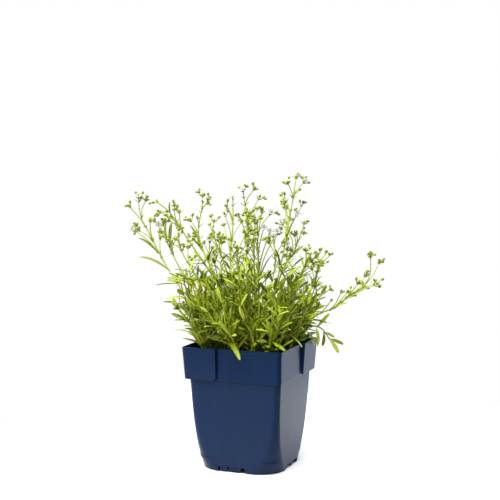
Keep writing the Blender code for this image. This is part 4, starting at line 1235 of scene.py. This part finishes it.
def leaf_skins(leaves, tones, twists, fold=0.22, place=1):
    """Lance-shaped blades. The middle runs base + rise t + bend t^2, the width follows
    LEAF_WIDTHS, and across it the upper side dips to the midrib and the lower side is keeled.

    The marks are the share along, the place across from -1 to 1, and the leaf's own tone."""
    base, rise, bend, facing = (np.array([leaf[i] for leaf in leaves]) for i in range(4))
    width = np.array([leaf[4] for leaf in leaves])[:, None, None]
    t = LEAF_SHARES[None, :, None]
    middle = base[:, None] + rise[:, None] * t + bend[:, None] * t**2
    ahead = units(rise[:, None] + 2 * bend[:, None] * t)
    beside = units(np.cross(ahead, facing[:, None]))
    above = np.cross(beside, ahead)
    turn = np.array(twists)[:, None, None] * t
    beside, above = (beside * np.cos(turn) + above * np.sin(turn),
                     above * np.cos(turn) - beside * np.sin(turn))
    s = np.array((0, 0.5, 1, 0, -1, -0.5))
    thick = np.array((0.3, 0.42, 0, -0.7, 0, 0.42)) * LEAF_THICKNESS
    half = width * LEAF_WIDTHS[:, None] / 2
    reach = half * s
    lift = np.abs(reach) * fold + thick * (0.5 + 0.5 * LEAF_WIDTHS[:, None])
    rings = (middle[:, :, None] + beside[:, :, None] * reach[..., None]
             + above[:, :, None] * lift[..., None])
    marks = marks_at(t, s, np.array(tones)[:, None, None])
    ends = np.stack((0 * marks[:, 0, 0], marks[:, 0, 0]), 1) * (0, 0, 1) + (
        np.array(((0, 0, 0), (1, 0, 0))))
    marks = np.concatenate((ends[:, :1], marks.reshape(len(leaves), -1, 3), ends[:, 1:]), 1)
    marks[:, 0, 2] = marks[:, -1, 2] = tones
    tip = base + rise + bend
    return (*skin(rings, base, tip), place, marks.reshape(-1, 3))


BUD_SHARES = np.array((0.0, 0.1, 0.28, 0.5, 0.7, 0.86, 0.96))
BUD_WIDTHS = np.array((0.34, 0.66, 0.93, 1.0, 0.82, 0.5, 0.24))


def turned_skin(feet, ways, lengths, radii, shares, widths, ribs=0.0, place=2):
    """Bodies of revolution with five ribs: at each share of the length the radius is that
    width, times one plus `ribs` times the cosine of five turns.

    The marks are the share along, that cosine, and the body's own tone."""
    ways = units(ways)
    start = np.where(np.abs(ways[:, 2:]) > 0.8, np.array((1.0, 0, 0)), UP)
    across = units(np.cross(start, ways))
    beside = np.cross(ways, across)
    turns = np.linspace(0, 2 * math.pi, 10, endpoint=False)
    ribbed = np.cos(5 * turns)
    wide = radii[:, None, None] * widths[:, None] * (1 + ribs * ribbed)
    circle = (np.cos(turns)[:, None] * across[:, None] + np.sin(turns)[:, None] * beside[:, None])
    up = ways[:, None] * (lengths[:, None] * shares)[..., None]
    rings = feet[:, None, None] + up[:, :, None] + wide[..., None] * circle[:, None]
    tones = shade.uniform(size=len(feet))
    marks = marks_at(shares[:, None], ribbed, tones[:, None, None])
    foot_marks = np.column_stack((0 * tones, 0 * tones, tones))[:, None]
    marks = np.concatenate((foot_marks, marks.reshape(len(feet), -1, 3), foot_marks + (1, 0, 0)), 1)
    last = feet + ways * lengths[:, None]
    return (*skin(rings, feet, last), place, marks.reshape(-1, 3))


def bud_skins(buds):
    """Closed buds: a ribbed calyx that tapers to a small point."""
    feet, ways = np.array([bud[0] for bud in buds]), np.array([bud[1] for bud in buds])
    size = np.array([bud[2] for bud in buds])
    return turned_skin(feet, ways, BUD_LENGTH * size, BUD_RADIUS * size, BUD_SHARES, BUD_WIDTHS,
                       0.08)


def calyx_skins(calyxes):
    """The cups under open blooms."""
    feet, ways = np.array([c[0] for c in calyxes]), np.array([c[1] for c in calyxes])
    shares = np.array((0, 0.2, 0.45, 0.75, 0.97))
    widths = np.array((0.42, 0.7, 0.95, 1.05, 1.15))
    full = np.full(len(feet), CALYX_LENGTH)
    return turned_skin(feet, ways, full, full * CALYX_RADIUS / CALYX_LENGTH, shares, widths, 0.1)


def bracts(joints):
    """Small pointed leaves, two where each twig parts from its stalk."""
    leaves = []
    for place, ahead in joints:
        side = side_way(ahead, shade.uniform(0, math.pi))
        for way in (side, -side):
            reach = shade.uniform(2.5, 5.5)
            leaves.append((place, (ahead * 0.75 + way * 0.65) * reach, way * reach * 0.2,
                           ahead * 0.65 - way * 0.75, shade.uniform(1.1, 1.8)))
    return leaves


# Living stalk: fresh yellow-green and faintly glossy, mottled deeper, and flushed reddish at
# some of the nodes.
stalk_green, tree, shader = new_material("living_stalk", Roughness=0.5, Specular_IOR_Level=0.2)
marks = node(tree, "ShaderNodeAttribute", attribute_name="marks")
split = node(tree, "ShaderNodeSeparateXYZ", links={0: marks.outputs["Vector"]})
place = node(tree, "ShaderNodeTexCoord").outputs["Object"]
mottle = node(tree, "ShaderNodeTexNoise", {"Scale": 260.0, "Detail": 3.0}, {"Vector": place})
tint = node(tree, "ShaderNodeMix", {6: linear("#99a220"), 7: linear("#bcc13e")},
            {0: split.outputs[2]}, data_type="RGBA")
mottled = node(tree, "ShaderNodeMix", {7: linear("#7a8514")}, {0: mottle.outputs["Fac"],
                                                              6: tint.outputs[2]},
               data_type="RGBA")
flush = node(tree, "ShaderNodeMath", links={0: split.outputs[0], 1: mottle.outputs["Fac"]},
             operation="MULTIPLY")
stalk_tint = node(tree, "ShaderNodeMix", {7: linear("#a8662c")}, {0: flush.outputs[0],
                                                                 6: mottled.outputs[2]},
                  data_type="RGBA")
tree.links.new(stalk_tint.outputs[2], shader.inputs["Base Color"])
bump = node(tree, "ShaderNodeBump", {"Strength": 0.2, "Distance": 0.0002},
            {"Height": mottle.outputs["Fac"]})
tree.links.new(bump.outputs[0], shader.inputs["Normal"])

# Leaf: silky green, from deep old leaves to yellow-green young ones, with a paler midrib and
# fine lengthwise veins. A little light from behind glows through it. Tones past 1 are withered.
leaf_green, tree, shader = new_material(
    "leaf_blade", Roughness=0.5, Specular_IOR_Level=0.16, Subsurface_Weight=0.2,
    Subsurface_Scale=0.001, Subsurface_Radius=(0.6, 1.0, 0.1))
marks = node(tree, "ShaderNodeAttribute", attribute_name="marks")
split = node(tree, "ShaderNodeSeparateXYZ", links={0: marks.outputs["Vector"]})
along, across, tone = split.outputs
place = node(tree, "ShaderNodeTexCoord").outputs["Object"]
blotch = node(tree, "ShaderNodeTexNoise", {"Scale": 320.0, "Detail": 3.0}, {"Vector": place})
uneven = node(tree, "ShaderNodeMapRange", {"To Min": -0.2, "To Max": 0.2},
              {"Value": blotch.outputs["Fac"]})
mixed_tone = node(tree, "ShaderNodeMath", links={0: tone, 1: uneven.outputs[0]},
                  operation="ADD", use_clamp=True)
tint = node(tree, "ShaderNodeMix", {6: linear("#4d5e08"), 7: linear("#adbb2c")},
            {0: mixed_tone.outputs[0]}, data_type="RGBA")
rib = node(tree, "ShaderNodeMath", links={0: across}, operation="ABSOLUTE")
rib_share = node(tree, "ShaderNodeMapRange", {"From Max": 0.22, "To Min": 0.5, "To Max": 0.0},
                 {"Value": rib.outputs[0]})
ribbed = node(tree, "ShaderNodeMix", {7: linear("#b6c640")}, {0: rib_share.outputs[0],
                                                             6: tint.outputs[2]},
              data_type="RGBA")
dry = node(tree, "ShaderNodeMapRange", {"From Min": 1.1, "From Max": 1.4}, {"Value": tone})
leaf_tint = node(tree, "ShaderNodeMix", {7: linear("#86702e")}, {0: dry.outputs[0],
                                                                6: ribbed.outputs[2]},
                 data_type="RGBA")
tree.links.new(leaf_tint.outputs[2], shader.inputs["Base Color"])
veins = node(tree, "ShaderNodeMath", {1: 14.0}, {0: across}, operation="MULTIPLY")
vein_wave = node(tree, "ShaderNodeMath", links={0: veins.outputs[0]}, operation="SINE")
bump = node(tree, "ShaderNodeBump", {"Strength": 0.25, "Distance": 0.0001},
            {"Height": vein_wave.outputs[0]})
tree.links.new(bump.outputs[0], shader.inputs["Normal"])

# Calyx: ribbed, fresh green with paler dry seams between its five teeth. On riper buds the
# white of the folded petals shows at the tip.
calyx_green, tree, shader = new_material("ribbed_calyx", Roughness=0.5, Specular_IOR_Level=0.2)
marks = node(tree, "ShaderNodeAttribute", attribute_name="marks")
split = node(tree, "ShaderNodeSeparateXYZ", links={0: marks.outputs["Vector"]})
along, ribs, tone = split.outputs
tint = node(tree, "ShaderNodeMix", {6: linear("#5d6b16"), 7: linear("#8a9630")}, {0: tone},
            data_type="RGBA")
seam = node(tree, "ShaderNodeMapRange", {"From Min": -0.2, "From Max": -1.0, "To Max": 0.45},
            {"Value": ribs})
seamed = node(tree, "ShaderNodeMix", {7: linear("#a9b35e")}, {0: seam.outputs[0],
                                                             6: tint.outputs[2]},
              data_type="RGBA")
ripe = node(tree, "ShaderNodeMapRange", {"From Min": 0.6, "From Max": 0.95}, {"Value": tone})
bare = node(tree, "ShaderNodeMapRange", {"From Min": 0.8, "From Max": 0.92}, {"Value": along})
tip = node(tree, "ShaderNodeMath", links={0: ripe.outputs[0], 1: bare.outputs[0]},
           operation="MULTIPLY")
calyx_tint = node(tree, "ShaderNodeMix", {7: linear("#b3aab2")}, {0: tip.outputs[0],
                                                                 6: seamed.outputs[2]},
                  data_type="RGBA")
tree.links.new(calyx_tint.outputs[2], shader.inputs["Base Color"])

greens = [stalk_green, leaf_green, calyx_green]


def tones_for(leaves):
    """Each leaf's tone from 0, deep, to 1, yellow. The upper leaves are a little deeper, and a
    few of the lowest are withered, with a tone past 1."""
    heights = np.array([leaf[0][2] + leaf[1][2] * 0.5 for leaf in leaves]) - SOIL_TOP
    tones = 0.4 - 0.25 * np.clip(heights / 130, 0, 1) + shade.normal(0, 0.24, len(leaves))
    withered = (heights < WITHERED_HEIGHT) & (shade.uniform(size=len(leaves)) < WITHERED_SHARE)
    return np.where(withered, 1.5, np.clip(tones, 0, 0.9))


def greenery(growth, trunk=None, nodes=()):
    """All the skins of one piece: its trunk, twigs, leaves with bracts, buds and calyxes."""
    skins = []
    if trunk:
        skins.append(stalk_skin(*trunk, 8, nodes))
    skins += [stalk_skin(np.asarray(p), r, sides, n) for p, r, sides, n in growth.stalks]
    if growth.leaves:
        twists = shade.normal(0, 0.18, len(growth.leaves))
        skins.append(leaf_skins(growth.leaves, tones_for(growth.leaves), twists))
    if growth.joints:
        small = bracts(growth.joints)
        skins.append(leaf_skins(small, shade.uniform(0.0, 0.6, len(small)), np.zeros(len(small))))
    if growth.buds:
        skins.append(bud_skins(growth.buds))
    if growth.calyxes:
        skins.append(calyx_skins(growth.calyxes))
    return skins


for name, growth in plan.items():
    nodes = [share for share, _ in leaf_nodes.get(name, ())]
    skins = greenery(growth, trunks[name], nodes)
    make_piece("live_" + name, skins, greens, 180, name, "leaf_green")
for name, growth in thickets.items():
    make_piece(name, greenery(growth), greens, slot="leaf_green")

# The open blooms: five white petals, notched at the end and cupped, round a green ovary with
# ten fine stamens. Each sits in the calyx of its twig.
PETAL_SHARES = np.array((0.12, 0.26, 0.44, 0.62, 0.78, 0.88))
PETAL_HALVES = np.array((0.4, 0.8, 1.3, 1.7, 1.75, 1.35))

# Petal: white in life, but drawn in mid grey, because white vanishes against this white stage.
# It is thin enough to glow, with faint veins from the claw.
petal_white, tree, shader = new_material(
    "white_petal", Roughness=0.55, IOR=1.38, Specular_IOR_Level=0.3, Subsurface_Weight=0.15,
    Subsurface_Scale=0.001, Subsurface_Radius=(1.0, 1.0, 1.0))
marks = node(tree, "ShaderNodeAttribute", attribute_name="marks")
split = node(tree, "ShaderNodeSeparateXYZ", links={0: marks.outputs["Vector"]})
along, across, tone = split.outputs
tint = node(tree, "ShaderNodeMix", {6: linear("#9a9892"), 7: linear("#888680")}, {0: tone},
            data_type="RGBA")
claw = node(tree, "ShaderNodeMapRange", {"From Min": 0.35, "From Max": 0.0, "To Max": 0.7},
            {"Value": along})
petal_tint = node(tree, "ShaderNodeMix", {7: linear("#909a5c")}, {0: claw.outputs[0],
                                                                 6: tint.outputs[2]},
                  data_type="RGBA")
tree.links.new(petal_tint.outputs[2], shader.inputs["Base Color"])
veins = node(tree, "ShaderNodeMath", {1: 16.0}, {0: across}, operation="MULTIPLY")
vein_wave = node(tree, "ShaderNodeMath", links={0: veins.outputs[0]}, operation="SINE")
bump = node(tree, "ShaderNodeBump", {"Strength": 0.1, "Distance": 0.0001},
            {"Height": vein_wave.outputs[0]})
tree.links.new(bump.outputs[0], shader.inputs["Normal"])


def bloom_skins(centre, axis):
    """Five petals, an ovary and ten stamens. A petal's middle reaches out and rises as it
    goes; across it, its edges lift by the square of the distance, and its end is notched."""
    across = unit(np.cross(axis, RIGHT + UP * 0.2))
    beside = np.cross(axis, across)
    angles = np.radians(72 * np.arange(5) + shade.uniform(-4, 4, 5))
    way = np.cos(angles)[:, None] * across + np.sin(angles)[:, None] * beside
    side = np.cross(axis, way)
    reach = PETAL_SHARES * PETAL_LENGTH
    s = np.array((0, 0.55, 1, 0, -1, -0.55))
    thick = np.array((0.1, 0.1, 0.02, -0.1, -0.02, 0.1))
    spread = PETAL_HALVES[:, None] * s
    forward = reach[:, None] + 0.3 * PETAL_SHARES[:, None] ** 4 * (np.abs(s) * 2 - 1)
    rise = (0.5 * PETAL_SHARES + 0.25 * PETAL_SHARES**2)[:, None] + thick + 0.12 * spread**2
    rise = rise + shade.uniform(-0.15, 0.3, (5, 1, 1)) * PETAL_SHARES[:, None]
    rings = (centre + way[:, None, None] * forward[..., None] + side[:, None, None]
             * spread[..., None] + axis * rise[..., None])
    tip = centre + way * PETAL_LENGTH * 0.84 + axis * 0.65
    marks = marks_at(PETAL_SHARES[:, None], s, shade.uniform(size=(5, 1, 1)))
    marks = np.concatenate((marks[:, 0, :1], marks.reshape(5, -1, 3), marks[:, -1, :1]), 1)
    petals = (*skin(rings, np.tile(centre, (5, 1)), tip), 0, marks.reshape(-1, 3))
    ovary = turned_skin(centre[None] - axis * 0.3, axis[None], np.array((1.5,)),
                        np.array((0.55,)), BUD_SHARES, BUD_WIDTHS, 0.05, 1)
    skins = [petals, ovary]
    for angle in np.radians(36 * np.arange(10)):
        out = across * math.cos(angle) + beside * math.sin(angle)
        end = centre + out * 0.9 + axis * shade.uniform(1.3, 1.8)
        middle = centre + out * 0.35 + axis * 0.7
        stamen = stalk_skin(np.array((centre, middle, end)), (0.09, 0.09, 0.09), 3)
        skins.append((*stamen[:3], 0, (0.9, 0, 0.3)))
    return skins


for name, (centre, axis) in blooms.items():
    make_piece("open_" + name, bloom_skins(centre, axis), [petal_white, calyx_green], 180, name,
               "petal_white")

# The stage: a plain pale floor, soft light from all round but the front right, a large soft
# lamp above, and a camera at the height and angle of the photograph. The floor's paper holds
# painted light. It is paler behind, where the pot's shadow falls, which lifts that shadow. It is
# greyer to the right and front, a painted shade that darkens the paper's reflection in the
# pot's foot. The camera sees the room white, so both of them render white.
FLOOR_HALF = 0.36
FOCAL_SQUARES, PHOTO_SQUARES, SHIFT_SQUARES = 1148.5, 500, -1.18
LOOK_DOWN = math.radians(4.838)
DARK_WAY = (0.743, -0.669, 0.0)
floor_mesh = bpy.data.meshes.new("floor")
corners = np.array(((-1, -1, 0), (1, -1, 0), (1, 1, 0), (-1, 1, 0))) * FLOOR_HALF
floor_mesh.from_pydata(corners, [], [(0, 1, 2, 3)])
floor = bpy.data.objects.new("floor", floor_mesh)
bpy.context.scene.collection.objects.link(floor)
paper, tree, shader = new_material("white_paper", Roughness=0.9)
place = node(tree, "ShaderNodeTexCoord").outputs["Object"]
rightward = node(tree, "ShaderNodeVectorMath", {1: (0.95, -0.3, 0.0)}, {0: place},
                 operation="DOT_PRODUCT")
# Painted light on the paper: paler behind, over the pot's shadow, and greyer to the right and
# front, where the pot's foot reflects it.
painted_light_falloff = node(tree, "ShaderNodeMapRange", {"From Min": 0.05, "From Max": 0.12},
               {"Value": rightward.outputs["Value"]})
painted_light_paper_tint = node(tree, "ShaderNodeMix", {6: linear("#d4d4d4"), 7: linear("#a6a6a6")},
                  {0: painted_light_falloff.outputs[0]}, data_type="RGBA")
tree.links.new(painted_light_paper_tint.outputs[2], shader.inputs["Base Color"])
floor_mesh.materials.append(paper)

world = bpy.data.worlds.new("soft_room")
bpy.context.scene.world = world
world.use_nodes = True
tree = world.node_tree
backdrop = tree.nodes["Background"]
direction = node(tree, "ShaderNodeTexCoord").outputs["Generated"]
towards = node(tree, "ShaderNodeVectorMath", {1: DARK_WAY}, {0: direction},
               operation="DOT_PRODUCT")
glow = node(tree, "ShaderNodeMapRange",
            {"From Min": 0.1, "From Max": 0.85, "To Min": 1.62, "To Max": 0.03},
            {"Value": towards.outputs["Value"]})
seen = node(tree, "ShaderNodeLightPath").outputs["Is Camera Ray"]
strength = node(tree, "ShaderNodeMix", {3: 1.0}, {0: seen, 2: glow.outputs[0]})
tree.links.new(strength.outputs[0], backdrop.inputs["Strength"])
hue = node(tree, "ShaderNodeMix", {6: (0.93, 1.0, 1.09, 1), 7: (1, 1, 1, 1)}, {0: seen},
           data_type="RGBA")
tree.links.new(hue.outputs[2], backdrop.inputs["Color"])


def soft_lamp(name, place, aim, size, power):
    """A square area lamp of `size` metres at `place`, turned to face `aim`."""
    data = bpy.data.lights.new(name, "AREA")
    data.shape, data.size, data.energy = "SQUARE", size, power
    lamp = bpy.data.objects.new(name, data)
    bpy.context.scene.collection.objects.link(lamp)
    lamp.location = place
    lamp.rotation_mode = "QUATERNION"
    away = lamp.location - type(lamp.location)(aim)
    lamp.rotation_quaternion = away.to_track_quat("Z", "Y")


soft_lamp("top_softbox", (0.0, -0.5, 1.5), (0, 0, 0.15), 1.4, 70)

camera_data = bpy.data.cameras.new("camera")
camera_data.lens = camera_data.sensor_width * FOCAL_SQUARES / PHOTO_SQUARES
camera_data.shift_x = SHIFT_SQUARES / PHOTO_SQUARES
camera = bpy.data.objects.new("camera", camera_data)
bpy.context.scene.collection.objects.link(camera)
camera.location = EYE * MM
camera.rotation_euler = (math.pi / 2 - LOOK_DOWN, 0, VIEW_TURN)
bpy.context.scene.camera = camera
bpy.context.scene.view_settings.view_transform = "Standard"
